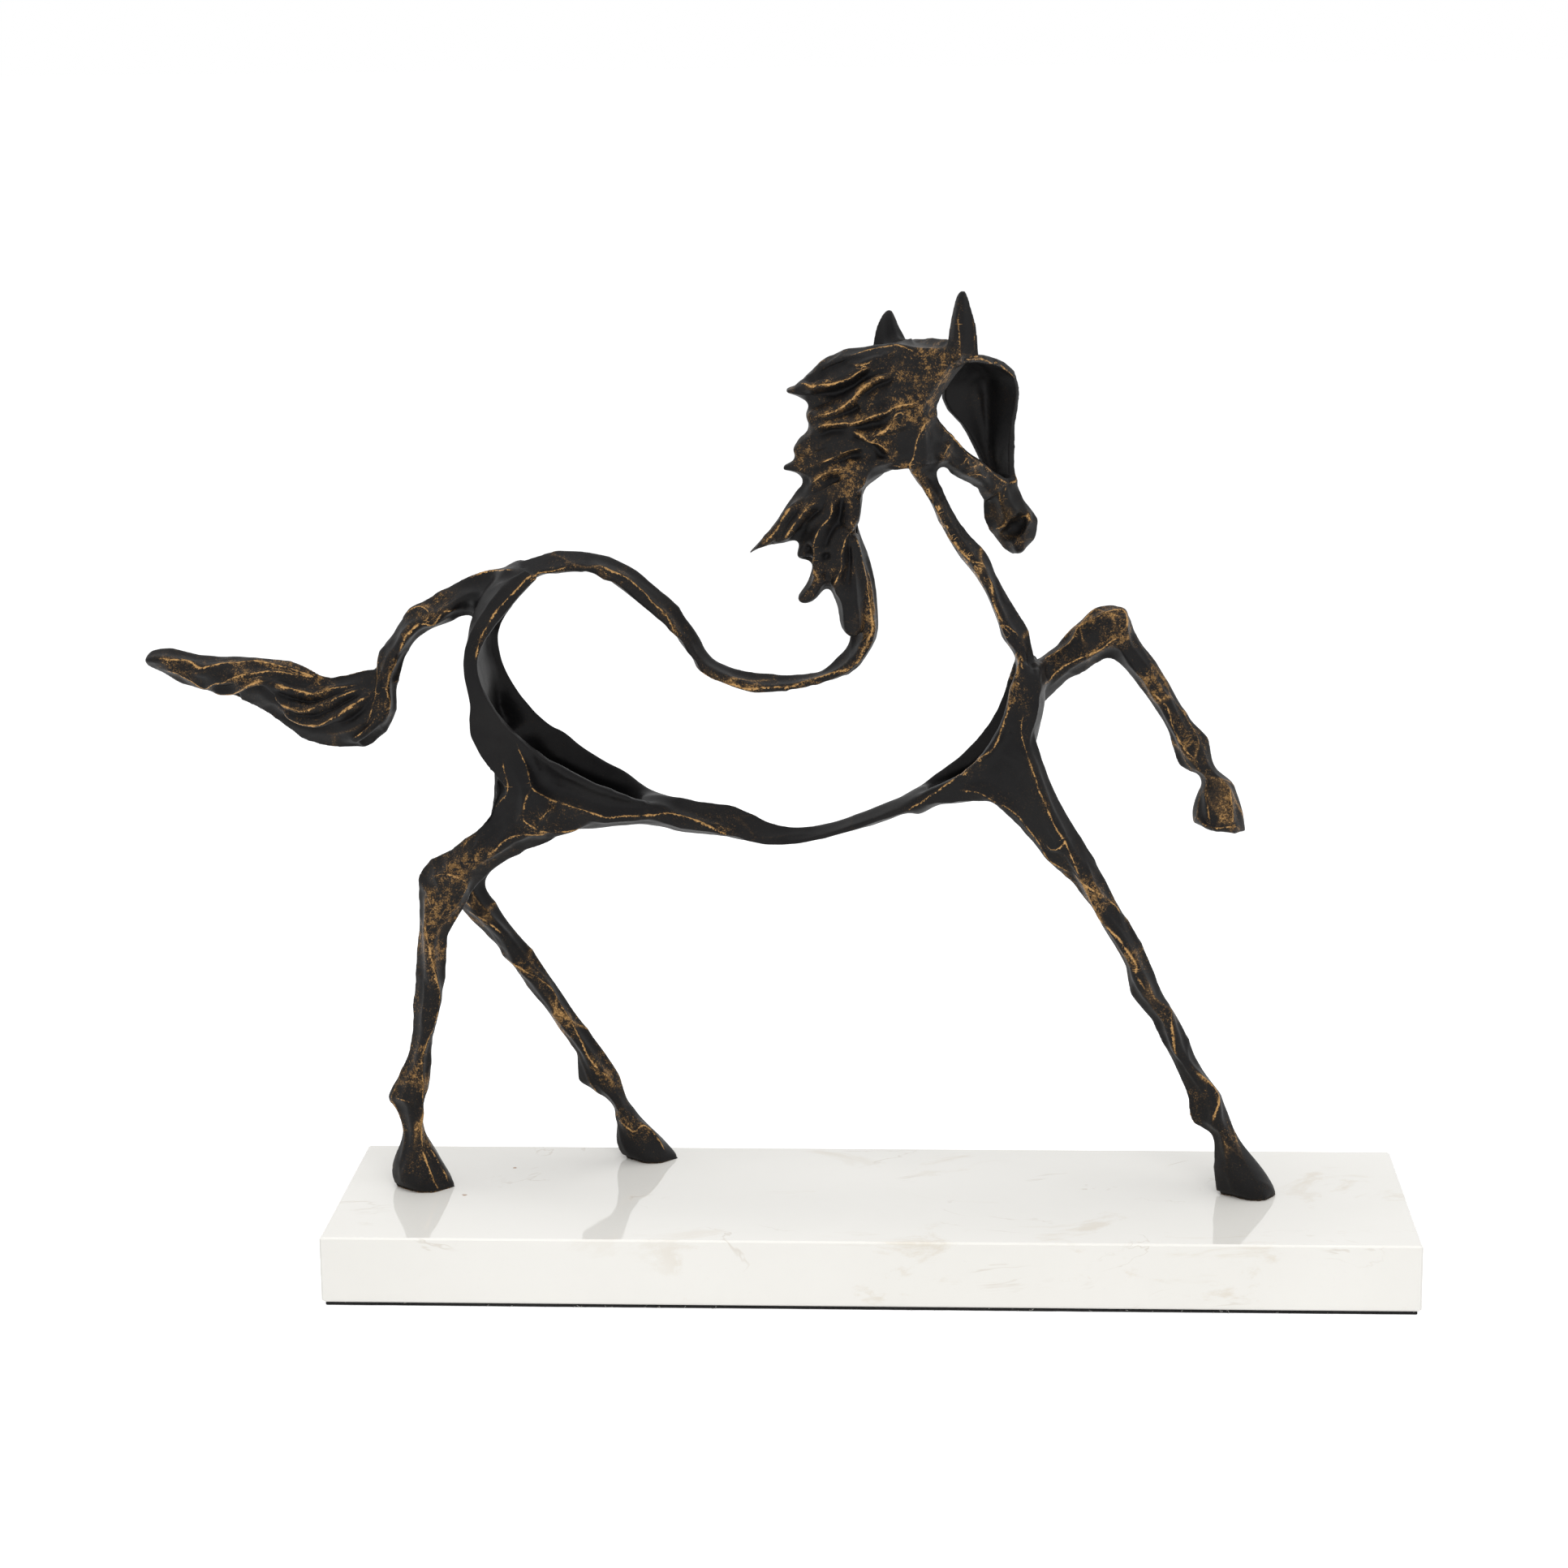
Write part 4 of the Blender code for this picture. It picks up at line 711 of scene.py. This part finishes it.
class DrawnLines:
    """The drawn lines carried along the camera's rays to the skin."""

    def __init__(self, points, faces):
        tree = BVHTree.FromPolygons(points.tolist(), faces.tolist())
        spots, sides, kinds, ends = [], [], [], []
        for kind, lines in enumerate(LINES.values()):
            for line in lines:
                reach = (0, 3, -3, 6, -6) if kind in SNAPPED else (0,)
                hits = [self.foremost(tree, u, v, reach) for u, v in smooth_line(line)]
                hits = [h for h in hits if h]
                for k, (spot, normal, _) in enumerate(hits):
                    ahead, behind = hits[min(k + 3, len(hits) - 1)][0], hits[max(k - 3, 0)][0]
                    side = normal.cross(ahead - behind)
                    side = side.normalized() if side.length > 1e-6 else Vector((0, 0, 1))
                    spots.append(spot)
                    sides.append(side if side.z >= 0 else -side)
                    kinds.append(kind)
                    ends.append(min(k, len(hits) - 1 - k) * 0.42)
        self.rubbed = [(self.foremost(tree, u, v, (0,)), reach, much) for u, v, reach, much in RUBBED]
        self.spots, self.sides = np.array(spots), np.array(sides)
        self.kinds, self.ends = np.array(kinds), np.array(ends)

    def foremost(self, tree, u, v, reach):
        """Where a pixel's ray meets the skin, or the ray beside it that meets it well before."""
        eye = Vector(CAMERA_AT)
        best = None
        for step in reach:
            for du, dv in ((step, 0), (0, step)):
                spot, normal, _, far = tree.ray_cast(eye, sight(u + du, v + dv))
                if spot is not None and (best is None or far < best[2] - 3.0):
                    best = (spot, normal, far)
        return best

    def dust(self, points):
        """How much gold dust lies at each point from the rubbed places."""
        total = np.zeros(len(points))
        for hit, reach, much in self.rubbed:
            if hit:
                total += much * np.exp(-((points - np.array(hit[0])) ** 2).sum(1) / reach ** 2)
        return total

    def nearest(self, points, flat):
        """The nearest spot to each point and how far it is, in the side view only where flat."""
        tree = KDTree(len(self.spots))
        keep = np.array([1.0, 0.0, 1.0]) if flat else np.ones(3)
        for k, spot in enumerate(self.spots * keep):
            tree.insert(spot, k)
        tree.balance()
        found = [tree.find(q)[1:] for q in (points * keep).tolist()]
        return np.array([f[0] for f in found]), np.array([f[1] for f in found])


def drawn_relief(points, faces, normal):
    """From the drawn lines, on both sides: height, gold strength, distance across the line, haze and dust."""
    drawn = DrawnLines(points, faces)
    count = len(points)
    spot, d = np.zeros(count, dtype=int), np.full(count, UNMARKED)
    front = normal[:, 1] < 0.45
    wobble = np.stack([swell(points, 6.0, seed) for seed in (13, 15, 17)], 1) * 0.5
    spot[front], d[front] = drawn.nearest((points + wobble)[front], False)
    back = ~front
    astray = np.stack([swell(points, 28.0, 3), np.zeros(count), swell(points, 28.0, 5)], 1) * 6.0
    spot[back], d[back] = drawn.nearest((points + astray)[back], True)
    away = points + np.where(front[:, None], wobble, astray) - drawn.spots[spot]
    d[back] += np.where(np.abs(away[back, 1]) > 34, UNMARKED, 0.0)
    d += 9 * ease(0.05, 0.45, normal[:, 1]) * front + 9 * ease(0.9, 0.5, normal[:, 1]) * back
    side = (away * drawn.sides[spot]).sum(1)
    kind = drawn.kinds[spot]
    fade = ease(0.0, 5.0, drawn.ends[spot])
    dip = FOLD_DIP * bell(side + FOLD_DIP_BELOW, FOLD_DIP_WIDTH) * bell(d, 9.0, 4)
    fold = FOLD_HEIGHT * bell(d, FOLD_WIDTH) - dip
    ridge = CREST_HEIGHT * np.exp(-d / CREST_WIDTH) + RIDGE_HEIGHT * bell(d, RIDGE_WIDTH)
    rim = RIM_HEIGHT * bell(d, RIM_WIDTH)
    plain = PLAIN_HEIGHT * bell(d, PLAIN_WIDTH)
    groove = -GROOVE_DEPTH * bell(d, GROOVE_WIDTH)
    up = np.choose(kind, [fold, ridge, rim, plain, 0.4 * rim, groove]) * (0.15 + 0.85 * fade)
    beside = (d / BESIDE_WIDTH) ** 2
    up -= BESIDE_DEPTH * beside * np.exp(1 - beside) * (kind < 2)
    up = np.where(front, up, HIDDEN_SHARE * up)
    gold = np.array(GOLD)[kind]
    strength = (0.25 + 0.75 * fade) * ease(2.6, 1.6, d) * gold
    haze = np.exp(-d / 3.4) * gold
    return up, strength, np.clip(side, -3, 3), haze, drawn.dust(points)


def worked(points, faces, spot, reach, filled, rounds=BLEND_ROUNDS):
    """Smooth the skin round a spot, keeping its bulk or filling its nooks."""
    away = np.linalg.norm(points - np.array(spot), axis=1)
    used, back = np.unique(faces[(away < 2.0 * reach)[faces].all(axis=1)], return_inverse=True)
    here = Ties(back.reshape(-1, 4), len(used))
    share = bell(away[used], reach, 4)[:, None]
    points = points.copy()
    points[used] += share * ((here.soften if filled else here.melt)(points[used], rounds) - points[used])
    return points


def shaped(points, faces, belongs, names, ties):
    """Melt the facets, build up the castings, push and blend the clay and round the hooves."""
    p = ties.melt(points - outward(points, faces) * WELD_FILL, MELT_ROUNDS)
    built = np.array([MARKS[name][4] for name in names])[belongs]
    p = p + outward(p, faces) * ties.soften(built, BUILD_ROUNDS)[:, None]
    for spot, reach, move in PUSHES:
        away = ((p - np.array(spot)) ** 2).sum(1)
        p = p + np.exp(-away / reach ** 2)[:, None] * np.array(move)
    for spot, reach, filled in BLENDS:
        p = worked(p, faces, spot, reach, filled)
    for name in HOOFED:
        leg = p[belongs == names.index(name)]
        hoof = leg[leg[:, 2] < leg[:, 2].min() + HOOF_HEIGHT].mean(axis=0)
        p = worked(p, faces, hoof, HOOF_REACH, True, HOOF_ROUNDS)
        grown = bell(np.linalg.norm(p - hoof, axis=1), HOOF_WIDTH, 4)
        p = p + outward(p, faces) * np.array([HOOF_GROWTH, HOOF_GROWTH, 0.0]) * grown[:, None]
    return p


def scooped(p, belongs, names):
    """The network of scoops: height, gold on its crests, gold rubbed over it and gold on its edges."""
    lift, crest, rub, edged = (np.zeros(len(p)) for _ in range(4))
    for n, name in enumerate(names):
        mine = belongs == n
        (gx, gz), scoop, edging, gold, _ = MARKS[name]
        q = p[mine]
        size = math.hypot(gx, gz)
        along = (q[:, 0] * gx + q[:, 2] * gz) / size
        across = (q[:, 2] * gx - q[:, 0] * gz) / size
        wander = swell(q, 16.0, 7) * 3.0
        cells = np.stack([along / 36.0, (across + wander) / 13.0, (q[:, 1] + wander) / 15.0], 1)
        edge = cell_edge(cells, 11 + n) * 13.0
        picked = ease(-0.15, 0.35, swell(q, 26.0, 23)) * min(1.0, scoop * 1.6)
        lift[mine] = scoop * (0.8 * np.exp(-edge / 1.2) - 0.8 * (1 - np.exp(-edge / 4.0)))
        crest[mine] = 0.95 * bell(edge, 0.6) * picked
        rub[mine] = 0.6 * gold + 0.35 * np.exp(-edge / 2.5) * picked
        edged[mine] = edging
    return lift, crest, rub, edged


def modelled(points, faces, owner, names):
    """Sculpt the skin, rub on the gold and paint shade where parts stand close in front: its points, their
    normals and the attributes of the gold and the painted shade.
    """
    ties = Ties(faces, len(points))
    belongs = np.zeros(len(points), dtype=int)
    for k in range(4):
        belongs[faces[:, k]] = owner
    p = shaped(points, faces, belongs, names, ties)
    normal = ties.soften(outward(p, faces), 6)
    flat = np.linalg.norm(normal, axis=1)
    normal /= flat[:, None]
    up, strength, seam, haze, dust = drawn_relief(p, faces, normal)
    lift, crest, rub, edged = scooped(p, belongs, names)
    border = np.zeros(len(p))
    border[faces[belongs[faces].max(axis=1) != belongs[faces].min(axis=1)]] = 1
    border = np.minimum(1, 4 * ties.soften(border, 12))
    crest = crest * (1 - border) * (0.25 + 0.75 * ease(12.0, 36.0, p[:, 2] - SLAB_TOP))
    lift = lift + border * (ties.soften(lift, 14) - lift)
    rub = ties.soften(rub, 24)
    edged = ties.soften(edged, 14)
    lift = ties.soften(lift + up, 2) * ease(0.45, 0.85, flat)
    hand = swell(p, 30.0, 31) * 0.7 + swell(p, 12.0, 37) * 0.35
    p = p + normal * ((lift + hand) * ease(0.0, 9.0, p[:, 2] - SLAB_TOP))[:, None]
    p = ties.melt(p, 2)
    p[:, 2] = np.where(p[:, 2] < SLAB_TOP + SOLE_HEIGHT, SLAB_TOP + SOLE_AIR, p[:, 2])
    normal = outward(p, faces)
    # Sharp convex edges, where a cloth dipped in gold touches
    sharp = ((p - ties.soften(p, 4)) * normal).sum(1)
    proud = ((p - ties.soften(p, 30)) * normal).sum(1)
    low, high = np.percentile(sharp, (95.0, 99.6))
    patch = 0.5 + 0.5 * swell(p, 30.0, 41)
    hollow_and_painted_shade = ease(-0.10, -1.0, proud)
    touch = ease(low, high, sharp) * np.minimum(1.0, edged * (0.3 + patch))
    strength = strength * (0.70 + 0.50 * patch) * (1 - 0.7 * hollow_and_painted_shade)
    gilt_and_painted_shade = np.maximum(touch, crest * (0.5 + 0.5 * patch)) * (1 - 0.8 * hollow_and_painted_shade)
    # Painted shade: the patina is darkened where another part of the skin stands close in front, on top of
    # the darker unrubbed patina in hollows
    hollow_and_painted_shade = np.maximum(hollow_and_painted_shade, 0.45 * ties.soften(occluded_for_painted_shade(p, faces, normal), 6))
    gilt_and_painted_shade = np.where(gilt_and_painted_shade < 0.15, gilt_and_painted_shade - 0.6 * hollow_and_painted_shade, gilt_and_painted_shade)
    uneven = ease(-0.6, 0.6, swell(p, 9.0, 43))
    rub = (rub + 0.4 * haze) * (0.35 + 0.9 * uneven) * (0.6 + 0.6 * patch)
    rub = rub + 0.65 * dust * (0.7 + 0.5 * uneven)
    rub *= ease(0.0, 24.0, p[:, 2] - SLAB_TOP) * 0.7 + 0.3
    gilding = {"gilt_and_painted_shade": np.clip(gilt_and_painted_shade, -0.6, 1.2), "rub": np.clip(rub * (1 - 0.7 * hollow_and_painted_shade), 0, 1),
               "line": strength, "seam": seam}
    return p, normal, gilding


def occluded_for_painted_shade(points, faces, normal):
    """1 where another part of the skin stands close in front of a point, used to paint shade there."""
    tree = BVHTree.FromPolygons(points.tolist(), faces.tolist())
    lifted = points + normal * 1.0
    found = [tree.ray_cast(Vector(q), Vector(n), 45.0)[3] for q, n in zip(lifted, normal)]
    return np.array([0.0 if far is None else 1.0 for far in found])


def tidy_owners(points, faces, owner):
    """Give stray islands of a few faces to the casting around them."""
    count = owner.max() + 1
    for _ in range(6):
        votes = sum(np.bincount(faces[:, k] * count + owner, None, len(points) * count) for k in range(4))
        owner = votes.reshape(-1, count)[faces].sum(axis=1).argmax(axis=1)
    return owner


def sunk_lids(bm, count, ring, tree):
    """Fill the open ends and keep every part of the filling inside the skin."""
    def inner(face):
        return all(v.index >= count for v in face.verts)

    gaps = [e for e in bm.edges if e.is_boundary]
    lids = bmesh.ops.holes_fill(bm, edges=gaps, sides=0)["faces"]
    bmesh.ops.triangulate(bm, faces=lids)
    for _ in range(5):
        bm.verts.index_update()
        lids = [f for f in bm.faces if inner(f)]
        spans = {e for f in lids for e in f.edges
                 if e.calc_length() > LID_EDGE * MM and all(map(inner, e.link_faces))}
        if not spans:
            break
        bm.edges.index_update()
        bmesh.ops.subdivide_edges(bm, edges=sorted(spans, key=lambda e: e.index), cuts=1)
        bm.verts.index_update()
        bmesh.ops.triangulate(bm, faces=[f for f in bm.faces if inner(f) and len(f.verts) > 3])
    bm.verts.index_update()
    for v in bm.verts:
        if v.index >= count + ring:
            spot, normal, _, _ = tree.find_nearest(v.co / MM)
            if (v.co / MM - spot).dot(normal) > -LID_SLACK:
                v.co = (spot - normal * min(LID_DEPTH, ROOM_SHARE * room_under(tree, spot, normal))) * MM


def room_under(tree, spot, normal):
    """How thick the skin's inside is under a spot."""
    found = tree.ray_cast(Vector(spot) - Vector(normal) * ROOM_START, -Vector(normal), ROOM_LIMIT)[3]
    return ROOM_LIMIT if found is None else found


def cast_piece(name, points, faces, normal, gilding, tree):
    """One casting, cut from the skin and closed by a lid sunk under its weld."""
    used, back = np.unique(faces, return_inverse=True)
    quads = back.reshape(-1, 4)
    count = len(used)
    start = quads.ravel().astype(np.int64)
    end = np.roll(quads, -1, axis=1).ravel().astype(np.int64)
    open_edge = ~np.isin(end * count + start, start * count + end)
    start, end = start[open_edge], end[open_edge]
    rim, place = np.unique(np.concatenate([start, end]), return_inverse=True)
    a, b = place.reshape(2, -1) + count
    room = [room_under(tree, points[used[k]], normal[used[k]]) for k in rim]
    deep = np.minimum(RIM_DEPTH, ROOM_SHARE * np.array(room))
    sunk = points[used[rim]] - normal[used[rim]] * deep[:, None]
    mesh = bpy.data.meshes.new("cast_" + name)
    walls = np.stack([end, start, a, b], 1)
    mesh.from_pydata(np.concatenate([points[used], sunk]) * MM, [], np.concatenate([quads, walls]).tolist())
    for key, value in gilding.items():
        value = np.concatenate([value[used], np.zeros(len(rim))]).astype(np.float32)
        mesh.attributes.new(key, "FLOAT", "POINT").data.foreach_set("value", value)
    bm = bmesh.new()
    bm.from_mesh(mesh)
    sunk_lids(bm, count, len(rim), tree)
    bm.to_mesh(mesh)
    bm.free()
    mesh.polygons.foreach_set("use_smooth", [True] * len(mesh.polygons))
    shown = np.zeros((len(mesh.vertices), 3))
    shown[:count] = normal[used]
    mesh.normals_split_custom_set_from_vertices(shown)
    mesh.materials.append(BRONZE)
    piece = placed("cast_" + name, mesh)
    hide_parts(name)
    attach(piece, "root")


castings = list(MARKS)
skin, quads = one_skin(castings)
owner = tidy_owners(skin, quads, owners(skin, quads, castings))
skin, normals, gilding = modelled(skin, quads, owner, castings)
# The skin stays this far inside the CAD's box
INSIDE = 0.05
skin = np.clip(skin, np.array(cad_low) / MM + INSIDE, np.array(cad_high) / MM - INSIDE)
skin_tree = BVHTree.FromPolygons(skin.tolist(), quads.tolist())
for n, name in enumerate(castings):
    cast_piece(name, skin, quads[owner == n], normals, gilding, skin_tree)


# Slab, felt and fixings
def eased_slab():
    """The slab with its arrises softened."""
    points, triangles = welded("stone_base")
    mesh = bpy.data.meshes.new("polished_slab")
    mesh.from_pydata(points * MM, [], triangles.tolist())
    bm = bmesh.new()
    bm.from_mesh(mesh)
    bmesh.ops.dissolve_limit(bm, angle_limit=math.radians(1), verts=bm.verts[:], edges=bm.edges[:])
    bmesh.ops.recalc_face_normals(bm, faces=bm.faces[:])
    bm.to_mesh(mesh)
    bm.free()
    slab = placed("polished_slab", mesh)
    soft = slab.modifiers.new("soft_arris", "BEVEL")
    soft.width = SLAB_ARRIS * MM
    soft.segments = 3
    soft.limit_method = "ANGLE"
    soft.angle_limit = math.radians(25)
    done = evaluated(slab)
    slab.modifiers.clear()
    slab.data = done
    done.polygons.foreach_set("use_smooth", [False] * len(done.polygons))
    done.materials.clear()
    done.materials.append(STONE)
    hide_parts("stone_base")
    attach(slab, "root")


def felt_sheet():
    """The glued felt: a soft-edged sheet, slightly uneven along its cut."""
    low, high = (np.array(c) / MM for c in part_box("felt_pad"))
    thick = high[2] - low[2]
    corners = [np.array(c) for c in (low[:2], (high[0], low[1]), high[:2], (low[0], high[1]))]
    outline = []
    for k, start in enumerate(corners):
        side, steps = corners[(k + 1) % 4] - start, FELT_STEPS[k % 2]
        outline += [start + side * j / steps for j in range(steps)]
    outline = np.array(outline)
    middle = (low + high)[:2] / 2
    half = (high - low)[:2] / 2
    cut = np.concatenate([outline, np.zeros((len(outline), 1))], 1)
    ragged = (swell(cut, 4.0, 51) + 1) * FELT_RAGGED
    bm = bmesh.new()
    rings = []
    for inset, z in FELT_LOW_RINGS + tuple((inset, thick - down) for inset, down in FELT_TOP_RINGS):
        share = 1 - (inset + ragged)[:, None] / half
        ring = middle + (outline - middle) * share
        rings.append([bm.verts.new((x * MM, y * MM, (low[2] + z) * MM)) for x, y in ring])
    count = len(outline)
    for lower, upper in zip(rings, rings[1:]):
        for k in range(count):
            j = (k + 1) % count
            bm.faces.new((lower[k], lower[j], upper[j], upper[k]))
    bm.faces.new(list(reversed(rings[0])))
    bm.faces.new(rings[-1])
    bmesh.ops.triangulate(bm, faces=[f for f in bm.faces if len(f.verts) > 4])
    mesh = bpy.data.meshes.new("felt_sheet")
    bm.to_mesh(mesh)
    bm.free()
    mesh.materials.append(FELT)
    return placed("felt_sheet", mesh)


def felt_nap(felt):
    """Loose fibres and pale lint standing off the felt's cut edge."""
    group = bpy.data.node_groups.new("felt_nap", "GeometryNodeTree")
    face = group.interface
    face.new_socket("Geometry", in_out="INPUT", socket_type="NodeSocketGeometry")
    many = face.new_socket("Fibres per square metre", in_out="INPUT", socket_type="NodeSocketFloat")
    long = face.new_socket("Fibre length", in_out="INPUT", socket_type="NodeSocketFloat")
    face.new_socket("Geometry", in_out="OUTPUT", socket_type="NodeSocketGeometry")
    w = Wiring(group)
    given = w.add("NodeGroupInput").outputs
    facing = w.add("ShaderNodeSeparateXYZ", {0: w.add("GeometryNodeInputNormal").outputs[0]})
    edge = w.calc(w.calc(facing.outputs["Z"], 0.0, "ABSOLUTE"), 0.5, "LESS_THAN")
    scatter = w.add("GeometryNodeDistributePointsOnFaces", {
        "Mesh": given["Geometry"], "Selection": edge, "Density": given["Fibres per square metre"],
        "Seed": 4}).outputs
    curl = w.add("GeometryNodeCurveQuadraticBezier", {
        "Resolution": 5, "Start": (0, 0, -0.1), "Middle": (0.1, 0, 0.5), "End": (0.6, 0.1, 0.7)})
    ring = w.add("GeometryNodeCurvePrimitiveCircle", {"Resolution": 4, "Radius": FIBRE_RADIUS})
    tube = w.add("GeometryNodeCurveToMesh", {
        "Curve": curl.outputs[0], "Profile Curve": ring.outputs[0], "Fill Caps": True})
    turn = w.add("FunctionNodeRandomValue", data_type="FLOAT_VECTOR")
    w.fill(turn, {0: (-0.6, -0.6, -3.1), 1: (0.6, 0.6, 3.1)})
    lean = w.add("FunctionNodeRotateRotation", rotation_space="LOCAL")
    w.fill(lean, {0: scatter["Rotation"], 1: turn.outputs[0]})
    chance = w.add("FunctionNodeRandomValue", {"Seed": 9}, data_type="FLOAT")
    pale = w.calc(chance.outputs[1], DARK_SHARE, "GREATER_THAN")
    size = w.add("FunctionNodeRandomValue", {2: 0.5, 3: 1.2}, data_type="FLOAT")
    bigger = w.add("ShaderNodeMath", {0: pale, 1: LINT_LONGER, 2: size.outputs[1]}, operation="MULTIPLY_ADD")
    length = w.calc(bigger.outputs[0], given["Fibre length"], "MULTIPLY")
    place = w.add("GeometryNodeInstanceOnPoints", {
        "Points": scatter["Points"], "Instance": tube.outputs[0], "Rotation": lean.outputs[0],
        "Scale": length})
    mark = w.add("GeometryNodeStoreNamedAttribute", data_type="FLOAT", domain="INSTANCE")
    w.fill(mark, {"Geometry": place.outputs[0], "Name": "lint", "Value": pale})
    both = w.add("GeometryNodeJoinGeometry")
    for part in (given["Geometry"], mark.outputs[0]):
        w.join(part, both.inputs[0])
    real = w.add("GeometryNodeRealizeInstances", {0: both.outputs[0]})
    paint = w.add("GeometryNodeSetMaterial", {"Geometry": real.outputs[0], "Material": FELT})
    w.add("NodeGroupOutput", {0: paint.outputs[0]})
    nap = felt.modifiers.new("nap", "NODES")
    nap.node_group = group
    nap[many.identifier] = FIBRE_COUNT
    nap[long.identifier] = FIBRE_LENGTH
    done = evaluated(felt)
    felt.modifiers.clear()
    felt.data = done
    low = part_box("felt_pad")[0][2]
    for v in done.vertices:
        v.co.z = max(v.co.z, low)


eased_slab()
felt = felt_sheet()
felt_nap(felt)
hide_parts("felt_pad")
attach(felt, "root")

for name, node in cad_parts.items():
    if name.endswith(("_stud", "_washer", "_nut")):
        node.data.materials.clear()
        node.data.materials.append(STEEL)


# Studio
def seen_directly(w):
    """1 for what the camera sees, itself, in a mirror or through glass, and 0 for other light."""
    path = w.add("ShaderNodeLightPath").outputs
    either = w.calc(path["Is Camera Ray"], path["Is Glossy Ray"], "MAXIMUM")
    return w.calc(either, path["Is Transmission Ray"], "MAXIMUM")


def studio_floor():
    """Plain white floor that keeps a soft shadow."""
    mesh = bpy.data.meshes.new("floor")
    reach = 30.0
    mesh.from_pydata([(-reach, -reach, 0), (reach, -reach, 0), (reach, reach, 0), (-reach, reach, 0)],
                     [], [(0, 1, 2, 3)])
    material = bpy.data.materials.new("white_floor")
    material.use_nodes = True
    w = Wiring(material.node_tree)
    w.tree.nodes.remove(w.tree.nodes["Principled BSDF"])
    paint = w.add("ShaderNodeBsdfDiffuse", {"Color": (0.80, 0.80, 0.80, 1)})
    faint = w.add("ShaderNodeBsdfDiffuse", {"Color": (0.55, 0.55, 0.55, 1)})
    white = w.add("ShaderNodeEmission", {"Strength": 0.80})
    both = w.add("ShaderNodeAddShader", {0: faint.outputs[0], 1: white.outputs[0]})
    mix = w.add("ShaderNodeMixShader", {0: seen_directly(w), 1: paint.outputs[0], 2: both.outputs[0]})
    w.join(mix.outputs[0], w.tree.nodes["Material Output"].inputs["Surface"])
    mesh.materials.append(material)
    floor = placed("floor", mesh)


def studio_world():
    """White behind the object and in its reflections, a soft fill elsewhere."""
    world = bpy.data.worlds.new("studio")
    scene.world = world
    world.use_nodes = True
    w = Wiring(world.node_tree)
    level = w.add("ShaderNodeMapRange", {"Value": seen_directly(w), "To Min": 0.38, "To Max": 1.0})
    w.fill(w.tree.nodes["Background"], {"Color": (1, 1, 1, 1), "Strength": level.outputs["Result"]})


def softbox(name, at, aim, size, watts):
    """A rectangular lamp that doesn't show in reflections."""
    light = bpy.data.lights.new(name, "AREA")
    light.shape = "RECTANGLE"
    light.size, light.size_y = size
    light.energy = watts
    lamp = placed(name, light)
    lamp.location = at
    lamp.rotation_euler = (Vector(aim) - Vector(at)).to_track_quat("-Z", "Y").to_euler()
    lamp.visible_glossy = False


studio_floor()
studio_world()
softbox("overhead", (-0.25, -0.15, 1.9), (0, 0, 0.2), (1.8, 1.4), 24.6)
softbox("front_fill", (0.5, -2.2, 1.2), (0, 0, 0.2), (1.6, 1.2), 26.8)
